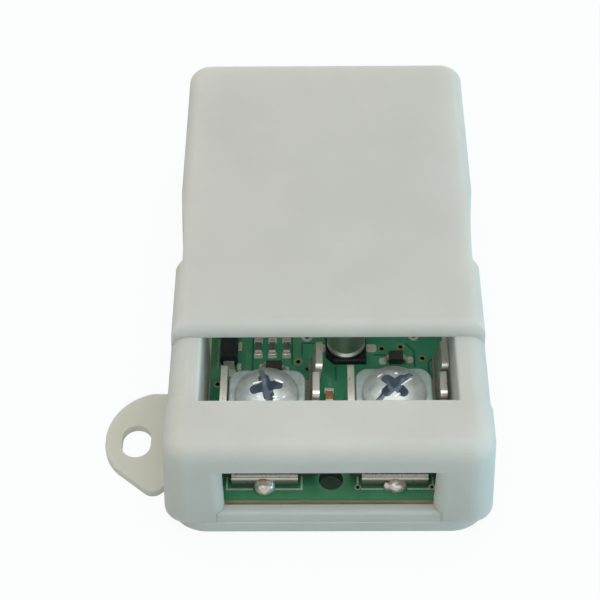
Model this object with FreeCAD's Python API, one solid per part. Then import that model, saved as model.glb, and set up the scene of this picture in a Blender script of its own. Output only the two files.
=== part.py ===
import FreeCAD, Part
import math
import os

# Fire alarm relay module: a two-piece snap-together plastic housing with a side fixing ear, a circuit
# board with two wire-clamp terminals under the housing's windows, and a small relay under the tall end.
# Millimetres. +X is right, +Y is away from the terminals' open end, +Z is up. The origin is at the centre
# of the rest face. Places along the housing are given as distances from its front end.

# Housing
base_width = 40.0
base_length = 66.0
rim_height = 2.5
block_height = 19.0
bar_drop = 1.65
block_start = 17.2
side_draft_deg = 3.3
end_draft_deg = 1.0
cover_wall = 1.5
cover_corner = 3.0
tray_corner = 5.0
block_edge_radius = 1.5
bar_edge_radius = 2.3
cover_seat_gap = 0.1
bar_flare = 0.25
bar_flare_end = 7.6

# Windows
top_window_front = 7.8
top_window_side = 4.6
front_window_inset = 2.7
front_window_top = 13.2
jamb_radius = 1.3
window_chin = 0.25
window_edge_radius = 0.35
bay_wall = 1.5
bay_wall_foot = 3.6
bay_wall_end = 24.3

# Finger scoops in the cover's sides
scoop_front = 28.4
scoop_length = 12.9
scoop_depth = 0.8

# Tray
tray_floor = 1.8
tray_edge_radius = 0.7
spigot_wall = 1.2
spigot_height = 6.0
spigot_clearance = 0.15
spigot_front = 4.0
lip_overlap = 0.9
lip_wall = 1.3
lip_top = 4.45
lip_edge_radius = 0.45
lip_inset = 0.1
notch_clearance = 0.06
snap_bead_height = 0.1
snap_bead_radius = 0.5
snap_bead_length = 6.0
snap_bead_z = 4.2
snap_bead_places = [24.0, 52.0]

# Fixing ear
ear_thickness = 1.2
ear_edge_radius = 0.3
ear_reach = 8.6
ear_slot_width = 3.75
ear_slot_length = 4.9
ear_slot_out = 4.6
ear_slot_place = 12.95
ear_tip_place = 13.2
ear_rear_place = 20.6
ear_rear_run = 3.0
ear_shoulder_out = 7.05
ear_shoulder_place = 18.0
ear_bend_out = 8.15
ear_bend_place = 10.7
ear_slant_out = 6.6
ear_slant_place = 8.6
ear_toe_out = 2.1
ear_toe_place = 5.4
ear_toe_half = 1.05
ear_toe_rise = 0.4
ear_root_depth = 1.0
ear_front_place = 7.4

# Circuit board
board_side_gap = 4.8
board_thickness = 1.6
board_front = 1.9
board_rear_gap = 3.1
board_corner = 1.0
board_height = 3.25
post_diameter = 4.2
post_inset = 2.0
post_places = [9.5, 32.0]
pin_post_inset = 3.2
locating_pin_diameter = 2.0
locating_clearance = 0.1
locating_pin_rise = 0.4
locating_pin_chamfer = 0.3
front_hole_diameter = 3.0
front_hole_x = 0.3
front_hole_place = 4.7
via_diameter = 0.5
small_via_diameter = 0.4
via_insets = [29.4, 19.0, 17.75, 17.85, 8.05, 5.55, 2.75, 3.75]
via_places = [19.3, 22.9, 21.7, 27.0, 25.0, 25.3, 23.4, 27.1]
front_via_reach = 4.53
front_via_place = 3.55
hold_down_gap = 0.15
rib_thickness = 1.2
rib_length = 8.0
rib_inset = 1.6
rib_place = 50.0

# Terminals
terminal_wall_gap = 0.15
terminal_left_share = 0.375
screw_place = 14.2
sheet = 0.85
bend_inside = 0.3
bracket_lift = 0.8
flange_front = 3.75
flange_half = 4.05
flange_shift = 0.15
flange_edge_radius = 0.35
bracket_front = 4.65
bracket_back = 18.7
left_wall_inside = 4.95
right_wall_inside = 5.55
wall_top = 10.2
front_tab_lean = 0.1
middle_tab_lean = 0.2
rear_tab_lean = 0.6
wall_corner = 0.7
tab_gap = 0.45
front_tab_end = 13.2
middle_tab_end = 17.6
rear_tab_end = 22.4
lead_width = 1.2
lead_clearance = 0.1
lead_length = 2.3
collar_wall = 0.55
collar_depth = 1.0
board_collar_clearance = 0.2
serration_pitch = 0.6
serration_width = 0.5
serration_depth = 0.22
serration_margin = 0.8
serration_start = 4.4
serration_end = 9.2

# Clamp plates and screws
plate_half_width = 4.8
plate_thickness = 1.0
plate_back = 18.5
plate_front = 9.7
plate_corner = 1.7
plate_edge_radius = 0.25
plate_groove_end = 11.6
left_wire_gap = 1.5
right_wire_gap = 1.8
screw_diameter = 4.0
running_clearance = 0.05
head_diameter = 8.0
head_height = 2.3
head_rim = 0.9
head_seat_gap = 0.02
screw_tip_clearance = 0.3
screw_tip_chamfer = 0.5
least_wire_gap = 0.15
slot_width = 0.7
slot_depth = 0.8
cross_width = 1.5
cross_length = 4.7
cross_depth = 1.5
left_recess_turn = 104.0
right_recess_turn = 44.0

# Solder joints
solder_radius = 1.3
solder_height = 1.45
solder_place = 3.55
rear_solder_radius = 0.9
rear_solder_height = 0.8

# Can capacitor
can_diameter = 5.0
can_height = 5.3
can_foot_radius = 0.3
can_edge_radius = 0.3
can_groove_low = 0.5
can_groove_width = 0.9
can_groove_depth = 0.3
can_base = 5.3
can_base_height = 0.9
can_base_cut = 1.1
can_base_chamfer = 0.15
can_x = 2.45
can_place = 25.1

# Moulded parts and their leads
body_lift = 0.1
lead_sheet = 0.18
lead_gap = 0.01
diode_width = 2.3
diode_length = 4.5
diode_height = 2.0
diode_lead_width = 1.4
diode_lead_reach = 0.85
surge_diode_inset = 2.4
surge_diode_place = 24.45
flyback_diode_gap = 2.35
flyback_diode_place = 38.0
small_lead_width = 0.4
small_lead_reach = 0.6
transistor_inset = 8.25
transistor_place = 21.7
transistor_width = 2.1
transistor_length = 1.5
transistor_height = 0.95
transistor_lead_spread = 0.5
signal_diode_inset = 6.23
signal_diode_place = 23.15
signal_diode_width = 1.9
signal_diode_length = 1.6
signal_diode_height = 1.05
signal_diode_lead_width = 0.75
controller_inset = 6.7
controller_place = 41.0
controller_width = 4.0
controller_length = 8.6
controller_height = 1.5
controller_side_leads = 7
controller_lead_spacing = 1.27
controller_lead_reach = 1.05

# Chip parts and crystal
chip_length = 2.0
chip_end = 0.35
chip_end_rise = 0.03
chip_end_radius = 0.12
chip_width = 0.85
chip_height = 0.45
resistor_count = 3
resistor_inset = 6.15
resistor_pitch = 1.85
resistor_place = 25.2
ceramic_width = 0.95
ceramic_height = 0.75
front_ceramic_shift = 0.7
front_ceramic_place = 17.0
rear_ceramic_count = 4
rear_ceramic_inset = 2.2
rear_ceramic_pitch = 2.2
rear_ceramic_place = 31.5
crystal_inset = 8.2
crystal_place = 55.8
crystal_length = 10.2
crystal_width = 3.6
crystal_height = 3.4
crystal_edge_radius = 0.5
crystal_flange_width = 0.5
crystal_flange_thickness = 0.5

# Relay
relay_side_gap = 1.1
relay_place = 44.0
relay_width = 11.0
relay_length = 16.0
relay_headroom = 1.55
relay_wall = 0.6
relay_corner = 0.9
relay_inner_corner = 0.5
relay_edge_radius = 0.5
relay_base_thickness = 1.5
relay_base_clearance = 0.05
relay_standoff = 0.2
relay_pin_diameter = 0.6
relay_pin_spread = 3.2
relay_pin_inset = 2.0
relay_pin_drop = 0.8
pin_clearance = 0.2
yoke_sheet = 0.9
yoke_width = 6.0
yoke_foot_reach = 2.6
yoke_bend = 0.7
yoke_coil_gap = 0.35
coil_shift = 1.6
coil_diameter = 7.0
armature_headroom = 1.24
flange_thickness = 0.5
flange_overhang = 0.2
tube_wall = 0.6
core_diameter = 2.4
core_clearance = 0.05
pole_diameter = 4.2
pole_thickness = 0.5
armature_gap = 0.45
armature_sheet = 0.8
armature_width = 5.6
armature_front = 3.0
armature_clearance = 0.08
armature_swing_deg = 3.6
spring_width = 2.4
spring_sheet = 0.2
spring_back = 2.0
spring_margin = 0.05
rivet_diameter = 0.9
rivet_height = 0.45
rivet_spread = 1.0
contact_inset = 2.4
contact_diameter = 1.5
contact_below = 0.35
contact_above = 0.55
contact_clearance = 0.04
rest_contact_gap = 0.05
stem_spread = 3.0
stem_width = 1.2
stem_sheet = 0.4
shelf_thickness = 0.3

# Worked-out places
front = -base_length / 2
board_top = board_height + board_thickness
floor_foot = board_top + bracket_lift
floor_top = floor_foot + sheet
bar_height = block_height - bar_drop
block_inside = block_height - cover_wall
bar_inside = bar_height - cover_wall
top_window_half = base_width / 2 - top_window_side
front_window_half = top_window_half - front_window_inset
lip_half = front_window_half + lip_overlap
board_width = base_width - 2 * board_side_gap
board_length = base_length - board_front - board_rear_gap
post_x = board_width / 2 - post_inset
pin_post_x = board_width / 2 - pin_post_inset
pin_post_place = board_front + board_length - pin_post_inset
rib_x = board_width / 2 - rib_inset
terminal_left_reach = left_wall_inside + sheet
terminal_right_reach = right_wall_inside + sheet + rear_tab_lean
terminal_room = 2 * (top_window_half - terminal_left_reach - terminal_right_reach)
left_terminal_x = -top_window_half + terminal_left_share * terminal_room + terminal_left_reach
right_terminal_x = top_window_half - terminal_wall_gap - terminal_right_reach
between_terminals = (left_terminal_x + terminal_right_reach + right_terminal_x - terminal_left_reach) / 2
surge_diode_x = surge_diode_inset - board_width / 2
transistor_x = transistor_inset - board_width / 2
signal_diode_x = board_width / 2 - signal_diode_inset
controller_x = controller_inset - board_width / 2
resistor_first_x = resistor_inset - board_width / 2
front_ceramic_x = between_terminals - front_ceramic_shift
rear_ceramic_x = rear_ceramic_inset - board_width / 2
crystal_x = crystal_inset - board_width / 2
relay_x = rib_x - relay_side_gap - relay_width / 2
flyback_diode_x = relay_x - relay_width / 2 - flyback_diode_gap - diode_width / 2
relay_height = block_inside - relay_headroom - board_top - relay_standoff
armature_level = board_top + relay_standoff + relay_height - relay_wall - armature_headroom - armature_sheet
screw_length = floor_top + least_wire_gap + plate_thickness - tray_floor - screw_tip_clearance


def at(distance):
    """The Y of a point that lies this far from the housing's front end."""
    return front + distance


def vec(x, y, z):
    return FreeCAD.Vector(x, y, z)


def box(x0, x1, y0, y1, z0, z1):
    return Part.makeBox(x1 - x0, y1 - y0, z1 - z0, vec(x0, y0, z0))


def rod(x, y, z0, z1, diameter):
    return Part.makeCylinder(diameter / 2, z1 - z0, vec(x, y, z0))


def fuse(shapes):
    return shapes[0].multiFuse(shapes[1:]).removeSplitter()


def polygon(points):
    return Part.Face(Part.makePolygon(points + [points[0]]))


def rounded_plan(half_x, half_y, corner, z):
    """A rectangle with round corners, as a closed wire at one height."""
    edges = []
    cx = half_x - corner
    cy = half_y - corner
    turn = corner * math.sqrt(0.5)
    sides = [
        (vec(-cx, -half_y, z), vec(cx, -half_y, z), vec(cx + turn, -cy - turn, z), vec(half_x, -cy, z)),
        (vec(half_x, -cy, z), vec(half_x, cy, z), vec(cx + turn, cy + turn, z), vec(cx, half_y, z)),
        (vec(cx, half_y, z), vec(-cx, half_y, z), vec(-cx - turn, cy + turn, z), vec(-half_x, cy, z)),
        (vec(-half_x, cy, z), vec(-half_x, -cy, z), vec(-cx - turn, -cy - turn, z), vec(-cx, -half_y, z)),
    ]
    for start, end, middle, next_start in sides:
        edges.append(Part.makeLine(start, end))
        edges.append(Part.Arc(end, middle, next_start).toShape())
    return Part.Wire(edges)


def half_width(z):
    """Half of the cover's outer width at a height: its sides lean in by the draft."""
    return base_width / 2 - (z - rim_height) * math.tan(math.radians(side_draft_deg))


def half_length(z):
    return base_length / 2 - (z - rim_height) * math.tan(math.radians(end_draft_deg))


def drafted_block(inset, z0, z1, corner):
    """A block that follows the cover's leaning sides, this far inside them."""
    low = rounded_plan(half_width(z0) - inset, half_length(z0) - inset, corner, z0)
    high = rounded_plan(half_width(z1) - inset, half_length(z1) - inset, corner, z1)
    return Part.makeLoft([low, high], True, True)


def edges_where(shape, test):
    """The edges whose every sampled point passes the test."""
    found = []
    for edge in shape.Edges:
        a, b = edge.ParameterRange
        points = [edge.valueAt(a + (b - a) * s) for s in (0.0, 0.3, 0.7, 1.0)]
        if all(test(p) for p in points):
            found.append(edge)
    return found


def bar_top_rounded(body):
    """Cuts a block down over the terminals and rounds the lower top's edges."""
    step = box(-base_width, base_width, at(-1), at(block_start), bar_height, block_height + 1)
    body = body.cut(step)
    tol = 0.01
    edges = edges_where(body, lambda p: abs(p.z - bar_height) < tol and p.y < at(block_start) + tol)
    edges = [e for e in edges if not all(abs(v.Y - at(block_start)) < tol for v in e.Vertexes)]
    return body.makeFillet(bar_edge_radius, edges)


def flare_region():
    """The space round the bar, whose rear ends slope in at 45 degrees to the cover's sides."""
    wires = []
    for z in (rim_height - 1, block_height + 1):
        face = half_width(z) - cover_wall / 2
        wide = face + cover_wall
        near, far = at(bar_flare_end - cover_wall / 2), at(bar_flare_end + cover_wall / 2)
        outline = [
            vec(-wide, at(-1), z), vec(wide, at(-1), z), vec(wide, near, z),
            vec(face, far, z), vec(-face, far, z), vec(-wide, near, z),
        ]
        wires.append(Part.makePolygon(outline + [outline[0]]))
    return Part.makeLoft(wires, True, True)


def cover_outside():
    """The leaning block, stepped down over the terminals, with its top edges rounded and its bar flared."""
    z0 = rim_height + cover_seat_gap
    body = bar_top_rounded(drafted_block(0, z0, block_height, cover_corner))
    top_edges = edges_where(body, lambda p: abs(p.z - block_height) < 0.01)
    body = body.makeFillet(block_edge_radius, top_edges)
    flared = bar_top_rounded(flared_block(z0, block_height))
    return body.fuse(flared.common(flare_region()))


def flared_block(z0, z1):
    """The same block, wider by the flare on its two sides only."""
    low = rounded_plan(half_width(z0) + bar_flare, half_length(z0), cover_corner, z0)
    high = rounded_plan(half_width(z1) + bar_flare, half_length(z1), cover_corner, z1)
    return Part.makeLoft([low, high], True, True)


def cover_cavity():
    """The hollow inside the cover, with a lower ceiling over the terminals."""
    inner = drafted_block(cover_wall, rim_height - 1, block_height, cover_corner - cover_wall)
    low = box(-base_width, base_width, at(-1), at(base_length), 0, bar_inside)
    high = box(-base_width, base_width, at(block_start + cover_wall), at(base_length + 1), 0, block_inside)
    return inner.common(fuse([low, high]))


def front_window():
    """The wire entry: rounded jambs over a notch that the tray's lip fills."""
    notch_half = lip_half + notch_clearance
    low = rim_height - 1
    notch = box(-notch_half, notch_half, at(-2), at(cover_wall + 1), low, lip_top + notch_clearance)
    half, r = front_window_half, jamb_radius
    turn = r * (1 - math.sqrt(0.5))
    wires = []
    for z in (low, front_window_top):
        face = -half_length(z)
        y0, y1, y2 = at(-2), face + r, at(cover_wall + 1)
        edges = [
            Part.makeLine(vec(-half - r, y0, z), vec(half + r, y0, z)),
            Part.makeLine(vec(half + r, y0, z), vec(half + r, face, z)),
            Part.Arc(vec(half + r, face, z), vec(half + turn, face + turn, z), vec(half, y1, z)).toShape(),
            Part.makeLine(vec(half, y1, z), vec(half, y2, z)),
            Part.makeLine(vec(half, y2, z), vec(-half, y2, z)),
            Part.makeLine(vec(-half, y2, z), vec(-half, y1, z)),
            Part.Arc(vec(-half, y1, z), vec(-half - turn, face + turn, z), vec(-half - r, face, z)).toShape(),
            Part.makeLine(vec(-half - r, face, z), vec(-half - r, y0, z)),
        ]
        wires.append(Part.Wire(edges))
    return notch.fuse(Part.makeLoft(wires, True, True))


def scoop(side):
    """A shallow hollow in one side of the cover, with a slow rear ramp and a short 45-degree front."""
    wires = []
    for z in (rim_height - 1, block_height + 1):
        face = half_width(z)
        back = vec(side * face, at(scoop_front + scoop_length), z)
        mid = vec(side * (face - scoop_depth * 0.72), at(scoop_front + scoop_length * 0.5), z)
        deep = vec(side * (face - scoop_depth), at(scoop_front), z)
        lip = vec(side * (face + cover_wall), at(scoop_front - scoop_depth - cover_wall), z)
        far = vec(side * (face + cover_wall), at(scoop_front + scoop_length), z)
        wires.append(Part.Wire([
            Part.Arc(back, mid, deep).toShape(), Part.makeLine(deep, lip),
            Part.makeLine(lip, far), Part.makeLine(far, back),
        ]))
    return Part.makeLoft(wires, True, True)


def make_top_cover():
    shell = cover_outside().cut(cover_cavity())
    root = cover_wall / 2
    y0, y1, y2 = at(root), at(block_start + root), at(bay_wall_end)
    walls = []
    for side in (-1, 1):
        x0, x1 = sorted([side * top_window_half, side * (top_window_half + bay_wall)])
        walls.append(box(x0, x1, y0, y1, bay_wall_foot, bar_inside + root))
        walls.append(box(x0, x1, y1, y2, bay_wall_foot, block_inside + root))
        rx0, rx1 = sorted([side * rib_x, side * (rib_x + rib_thickness)])
        ry0 = at(rib_place - rib_length / 2)
        walls.append(box(rx0, rx1, ry0, ry0 + rib_length, board_top + hold_down_gap, block_inside + root))
    shell = fuse([shell] + walls)
    window = box(-top_window_half, top_window_half, at(top_window_front), at(block_start),
                 board_top, block_height)
    under = box(-top_window_half, top_window_half, at(top_window_front), at(block_start) + 2 * cover_wall,
                board_top, block_inside - window_chin)
    shell = shell.cut(window)
    inside_block = at(block_start) + 0.01
    rim = edges_where(shell, lambda p: abs(p.z - bar_height) < 0.01 and abs(p.x) < top_window_half + 0.01
                      and p.y < inside_block)
    rim = [e for e in rim if min(v.Y for v in e.Vertexes) < at(block_start) - 0.01]
    shell = shell.makeFillet(window_edge_radius, rim)
    shell = shell.cut(under).cut(front_window())
    for side in (-1, 1):
        shell = shell.cut(scoop(side))
    return shell


def ear_point(out, place, z):
    """A point of the ear: how far it lies outside the base's edge, and how far along the housing."""
    return vec(-base_width / 2 - out, at(place), z)


def ear_outline(z):
    """The ear's plan: a broad round lobe whose front side runs in at a slant to a small round toe."""
    rear_root = ear_point(-ear_root_depth, ear_rear_place, z)
    rear_end = ear_point(ear_rear_run, ear_rear_place, z)
    shoulder = ear_point(ear_shoulder_out, ear_shoulder_place, z)
    tip = ear_point(ear_reach, ear_tip_place, z)
    bend = ear_point(ear_bend_out, ear_bend_place, z)
    slant_start = ear_point(ear_slant_out, ear_slant_place, z)
    slant_end = ear_point(ear_toe_out + ear_toe_half, ear_toe_place + ear_toe_rise, z)
    toe = ear_point(ear_toe_out, ear_toe_place, z)
    toe_end = ear_point(ear_toe_out - ear_toe_half, ear_toe_place + ear_toe_rise, z)
    front_root = ear_point(-ear_root_depth, ear_front_place, z)
    return Part.Wire([
        Part.makeLine(rear_root, rear_end), Part.Arc(rear_end, shoulder, tip).toShape(),
        Part.Arc(tip, bend, slant_start).toShape(), Part.makeLine(slant_start, slant_end),
        Part.Arc(slant_end, toe, toe_end).toShape(), Part.makeLine(toe_end, front_root),
        Part.makeLine(front_root, rear_root),
    ])


def slot_hole(x, y, width, length, z0, z1):
    """An oblong hole that runs along Y."""
    reach = (length - width) / 2
    middle = box(x - width / 2, x + width / 2, y - reach, y + reach, z0, z1)
    return fuse([middle, rod(x, y - reach, z0, z1, width), rod(x, y + reach, z0, z1, width)])


def make_ear():
    ear = Part.Face(ear_outline(0)).extrude(vec(0, 0, ear_thickness))
    return ear.makeFillet(ear_edge_radius, edges_where(ear, lambda p: abs(p.z - ear_thickness) < 0.01))


def make_base_tray():
    plan = Part.Face(rounded_plan(base_width / 2, base_length / 2, tray_corner, 0))
    plate = plan.extrude(vec(0, 0, rim_height))
    plate = plate.makeFillet(tray_edge_radius, edges_where(plate, lambda p: abs(p.z) < 0.01))
    outside = cover_wall + spigot_clearance
    inside = outside + spigot_wall
    inner_corner = max(cover_corner - outside, 0.6)
    ring = drafted_block(outside, tray_floor, spigot_height, inner_corner)
    hollow = drafted_block(inside, tray_floor, spigot_height + 1, 0.6)
    ring = ring.cut(hollow)
    ring = ring.cut(box(-base_width, base_width, at(-1), at(spigot_front), rim_height, spigot_height + 1))
    tray = fuse([plate.cut(hollow), ring, make_ear()])
    y = at(ear_slot_place)
    x = -base_width / 2 - ear_slot_out
    tray = tray.cut(slot_hole(x, y, ear_slot_width, ear_slot_length, -1, ear_thickness + 1))
    return fuse([tray, make_lip()] + make_posts() + make_snap_beads())


def make_lip():
    """The wall across the front under the wire entry, rounded along its outer top edge."""
    y0 = at(lip_inset)
    lip = box(-lip_half, lip_half, y0, y0 + lip_wall, tray_floor, lip_top)
    top = edges_where(lip, lambda p: abs(p.z - lip_top) < 0.01 and abs(p.y - y0) < 0.01)
    return lip.makeFillet(lip_edge_radius, top)


def make_posts():
    """The posts that carry the board, three of them with a pin that enters a hole in it."""
    posts = []
    for side in (-1, 1):
        for place in post_places:
            posts.append(rod(side * post_x, at(place), tray_floor, board_height, post_diameter))
        posts.append(rod(side * pin_post_x, at(pin_post_place), tray_floor, board_height, post_diameter))
        pin_top = board_top + locating_pin_rise
        pin = rod(side * pin_post_x, at(pin_post_place), board_height, pin_top, locating_pin_diameter)
        tip = edges_where(pin, lambda p: abs(p.z - pin_top) < 0.01)
        posts.append(pin.makeChamfer(locating_pin_chamfer, tip))
    return posts


def make_snap_beads():
    """Low half-round beads on the spigot that the cover's walls snap over."""
    beads = []
    face = half_width(snap_bead_z) - cover_wall - spigot_clearance
    for side in (-1, 1):
        for place in snap_bead_places:
            x = side * (face + snap_bead_height - snap_bead_radius)
            start = vec(x, at(place), snap_bead_z)
            beads.append(Part.makeCylinder(snap_bead_radius, snap_bead_length, start, vec(0, 1, 0)))
    return beads


def terminal_x(side):
    return left_terminal_x if side < 0 else right_terminal_x


def flange_x(side):
    """The middle of a bracket's front flange, which lies a little to the left of its screw."""
    return terminal_x(side) - flange_shift


def board_holes():
    """Everything that passes through the board."""
    z0, z1 = board_height - 1, board_top + 1
    pin_hole = locating_pin_diameter + 2 * locating_clearance
    holes = [rod(front_hole_x, at(front_hole_place), z0, z1, front_hole_diameter)]
    collar = screw_diameter + 2 * (running_clearance + collar_wall + board_collar_clearance)
    for side in (-1, 1):
        holes.append(rod(side * pin_post_x, at(pin_post_place), z0, z1, pin_hole))
        holes.append(rod(terminal_x(side), at(screw_place), z0, z1, collar))
        for lead in bracket_leads(side, lead_clearance):
            holes.append(lead)
    for x, y in relay_pins():
        holes.append(rod(x, y, z0, z1, relay_pin_diameter + 2 * pin_clearance))
    for x, place in plated_holes():
        holes.append(rod(x, at(place), z0, z1, via_diameter))
    y = at(front_via_place)
    for x in (flange_x(1) - front_via_reach, flange_x(1) + front_via_reach):
        holes.append(rod(x, y, z0, z1, small_via_diameter))
    return holes


def plated_holes():
    """The through holes that carry tracks from one face of the board to the other."""
    return [(board_width / 2 - inset, place) for inset, place in zip(via_insets, via_places)]


def make_circuit_board():
    plan = Part.Face(rounded_plan(board_width / 2, board_length / 2, board_corner, 0))
    board = plan.extrude(vec(0, 0, board_thickness))
    board.translate(vec(0, at(board_front + board_length / 2), board_height))
    for hole in board_holes():
        board = board.cut(hole)
    return board


def bracket_leads(side, grow):
    """The two solder leads of a terminal, grown by a clearance to make their holes."""
    x = flange_x(side)
    half = lead_width / 2 + grow
    low = board_top - lead_length
    front_lead = box(x - half, x + half, at(flange_front) - grow, at(flange_front) + sheet + grow,
                     low, floor_foot)
    wall_x = terminal_x(side) + right_wall_inside
    back_lead = box(wall_x - grow, wall_x + sheet + grow, at(rear_tab_end) - lead_width - grow,
                    at(rear_tab_end) + grow, low, floor_top)
    return [front_lead, back_lead]


def serrations(x, z, up):
    """A row of V grooves that run along Y and bite the wire."""
    count = int(2 * (plate_half_width - serration_margin) / serration_pitch)
    cutters = []
    for i in range(count):
        cx = x - serration_pitch * (count - 1) / 2 + i * serration_pitch
        half = serration_width / 2
        y = at(serration_start)
        outline = [vec(cx - half, y, z), vec(cx + half, y, z), vec(cx, y, z - up * serration_depth)]
        cutters.append(polygon(outline).extrude(vec(0, serration_end - serration_start, 0)))
    return cutters


def bracket_section(x, lean):
    """The channel's bent-sheet section, with its right wall leaning out."""
    left = x - left_wall_inside
    right = x + right_wall_inside
    y = at(bracket_front)
    return polygon([
        vec(left - sheet, y, floor_foot), vec(right + sheet, y, floor_foot),
        vec(right + sheet + lean, y, wall_top), vec(right + lean, y, wall_top),
        vec(right, y, floor_top), vec(left, y, floor_top),
        vec(left, y, wall_top), vec(left - sheet, y, wall_top),
    ])


def bent_channel(x, lean):
    """The section pulled along the terminal, with its bends rounded outside and inside."""
    channel = bracket_section(x, lean).extrude(vec(0, rear_tab_end - bracket_front, 0))
    tol = 0.01
    least = bracket_back - bracket_front
    outer = edges_where(channel, lambda p: abs(p.z - floor_foot) < tol and abs(p.x - x) > left_wall_inside)
    channel = channel.makeFillet(bend_inside + sheet * 0.6, [e for e in outer if e.Length > least])
    inner = edges_where(channel, lambda p: abs(p.z - floor_top) < tol)
    return channel.makeFillet(bend_inside, [e for e in inner if e.Length > least])


def wall_profile(start, end, corner, x0, x1):
    """A tab's side view with round top corners, as a cutter that keeps what lies inside it."""
    outline = rounded_tab(at(start), at(end), board_top - 1, wall_top, corner, x0)
    return Part.Face(outline).extrude(vec(x1 - x0, 0, 0))


def rounded_tab(y0, y1, z0, z1, corner, x):
    turn = corner * (1 - math.sqrt(0.5))
    a, b = vec(x, y0, z0), vec(x, y0, z1 - corner)
    c, d = vec(x, y0 + corner, z1), vec(x, y1 - corner, z1)
    e, f = vec(x, y1, z1 - corner), vec(x, y1, z0)
    return Part.Wire([
        Part.makeLine(a, b), Part.Arc(b, vec(x, y0 + turn, z1 - turn), c).toShape(), Part.makeLine(c, d),
        Part.Arc(d, vec(x, y1 - turn, z1 - turn), e).toShape(), Part.makeLine(e, f), Part.makeLine(f, a),
    ])


def make_bracket(side):
    """A bent-sheet channel: floor, straight left wall, right wall in three leaning tabs, threaded collar."""
    x = terminal_x(side)
    left, right = x - left_wall_inside, x + right_wall_inside
    out = 2 * (sheet + rear_tab_lean)
    cut_in = 2 * bend_inside
    low = board_top - out
    left_wall = wall_profile(bracket_front, bracket_back, wall_corner, left - out, left + cut_in)
    sill = floor_top + bend_inside
    floor_part = box(left + cut_in, right + out, at(bracket_front), at(bracket_back), low, sill)
    pieces = [bent_channel(x, front_tab_lean).common(left_wall)]
    for start, end, lean in bracket_tabs():
        tab = wall_profile(start, end, wall_corner, right - cut_in, right + out)
        reach = box(left + cut_in, right + out, at(start - tab_gap / 2), at(end + tab_gap / 2), low, wall_top)
        pieces.append(bent_channel(x, lean).common(fuse([floor_part, tab]).common(reach)))
    under_rear_tab = box(right - out, right + out, at(bracket_back), at(rear_tab_end) + out, low, floor_top)
    return finish_bracket(fuse(pieces).cut(under_rear_tab), side)


def bracket_tabs():
    """The right wall's three tabs: where each starts and ends, and how far its top leans out."""
    return [
        (bracket_front, front_tab_end, front_tab_lean),
        (front_tab_end + tab_gap, middle_tab_end, middle_tab_lean),
        (middle_tab_end + tab_gap, rear_tab_end, rear_tab_lean),
    ]


def front_flange(x):
    """The floor's front end, bent down onto the board as a short lip."""
    y0, y1 = at(flange_front), at(flange_front) + sheet
    lip = box(x - flange_half, x + flange_half, y0, y1, board_top, floor_top)
    front_top = edges_where(lip, lambda p: abs(p.z - floor_top) < 0.01 and abs(p.y - y0) < 0.01)
    lip = lip.makeFillet(flange_edge_radius, front_top)
    neck = box(x - flange_half, x + flange_half, y1 - 0.1, at(bracket_front) + 0.1, floor_foot, floor_top)
    return lip.fuse(neck)


def finish_bracket(channel, side):
    """Adds the collar, the front flange and the leads, and cuts the screw's bore and the serrations."""
    x, y = terminal_x(side), at(screw_place)
    bore = screw_diameter + 2 * running_clearance
    collar_foot = board_top - collar_depth
    collar = rod(x, y, collar_foot, floor_foot, bore + 2 * collar_wall)
    bracket = fuse([channel, collar, front_flange(flange_x(side))] + bracket_leads(side, 0))
    bracket = bracket.cut(rod(x, y, collar_foot - 1, floor_top + 1, bore))
    for groove in serrations(x, floor_top, 1):
        bracket = bracket.cut(groove)
    return bracket


def wire_gap(side):
    return left_wire_gap if side < 0 else right_wire_gap


def make_clamp_plate(side):
    """The square washer that presses the wire down: round rear corners, grooved underside."""
    x = terminal_x(side)
    z = floor_top + wire_gap(side)
    y0, y1 = at(plate_front), at(plate_back)
    plate = box(x - plate_half_width, x + plate_half_width, y0, y1, z, z + plate_thickness)
    rear = edges_where(plate, lambda p: abs(p.y - y1) < 0.01 and abs(abs(p.x - x) - plate_half_width) < 0.01)
    plate = plate.makeFillet(plate_corner, rear)
    top = edges_where(plate, lambda p: abs(p.z - z - plate_thickness) < 0.01)
    plate = plate.makeFillet(plate_edge_radius, top)
    bore = screw_diameter + 2 * running_clearance
    plate = plate.cut(rod(x, at(screw_place), z - 1, z + plate_thickness + 1, bore))
    near = box(x - plate_half_width, x + plate_half_width, y0 - 1, at(plate_groove_end), z - 1, z + 1)
    for groove in serrations(x, z, -1):
        groove.translate(vec(0, plate_front - serration_start - plate_thickness, 0))
        plate = plate.cut(groove.common(near))
    return plate


def head_profile(radius, height, rim, z):
    """Half of a pan head, from the axis over the dome to the rim and back."""
    top = vec(0, 0, z + height)
    shoulder = vec(radius * 0.8, 0, z + height * 0.72)
    edge = vec(radius, 0, z + rim)
    return [
        Part.Arc(top, vec(radius * 0.45, 0, z + height * 0.94), shoulder).toShape(),
        Part.Arc(shoulder, vec(radius * 0.94, 0, z + height * 0.57), edge).toShape(),
        Part.makeLine(edge, vec(radius, 0, z + rim * 0.25)),
        Part.makeLine(vec(radius, 0, z + rim * 0.25), vec(radius * 0.96, 0, z)),
        Part.makeLine(vec(radius * 0.96, 0, z), vec(0, 0, z)),
        Part.makeLine(vec(0, 0, z), top),
    ]


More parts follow.
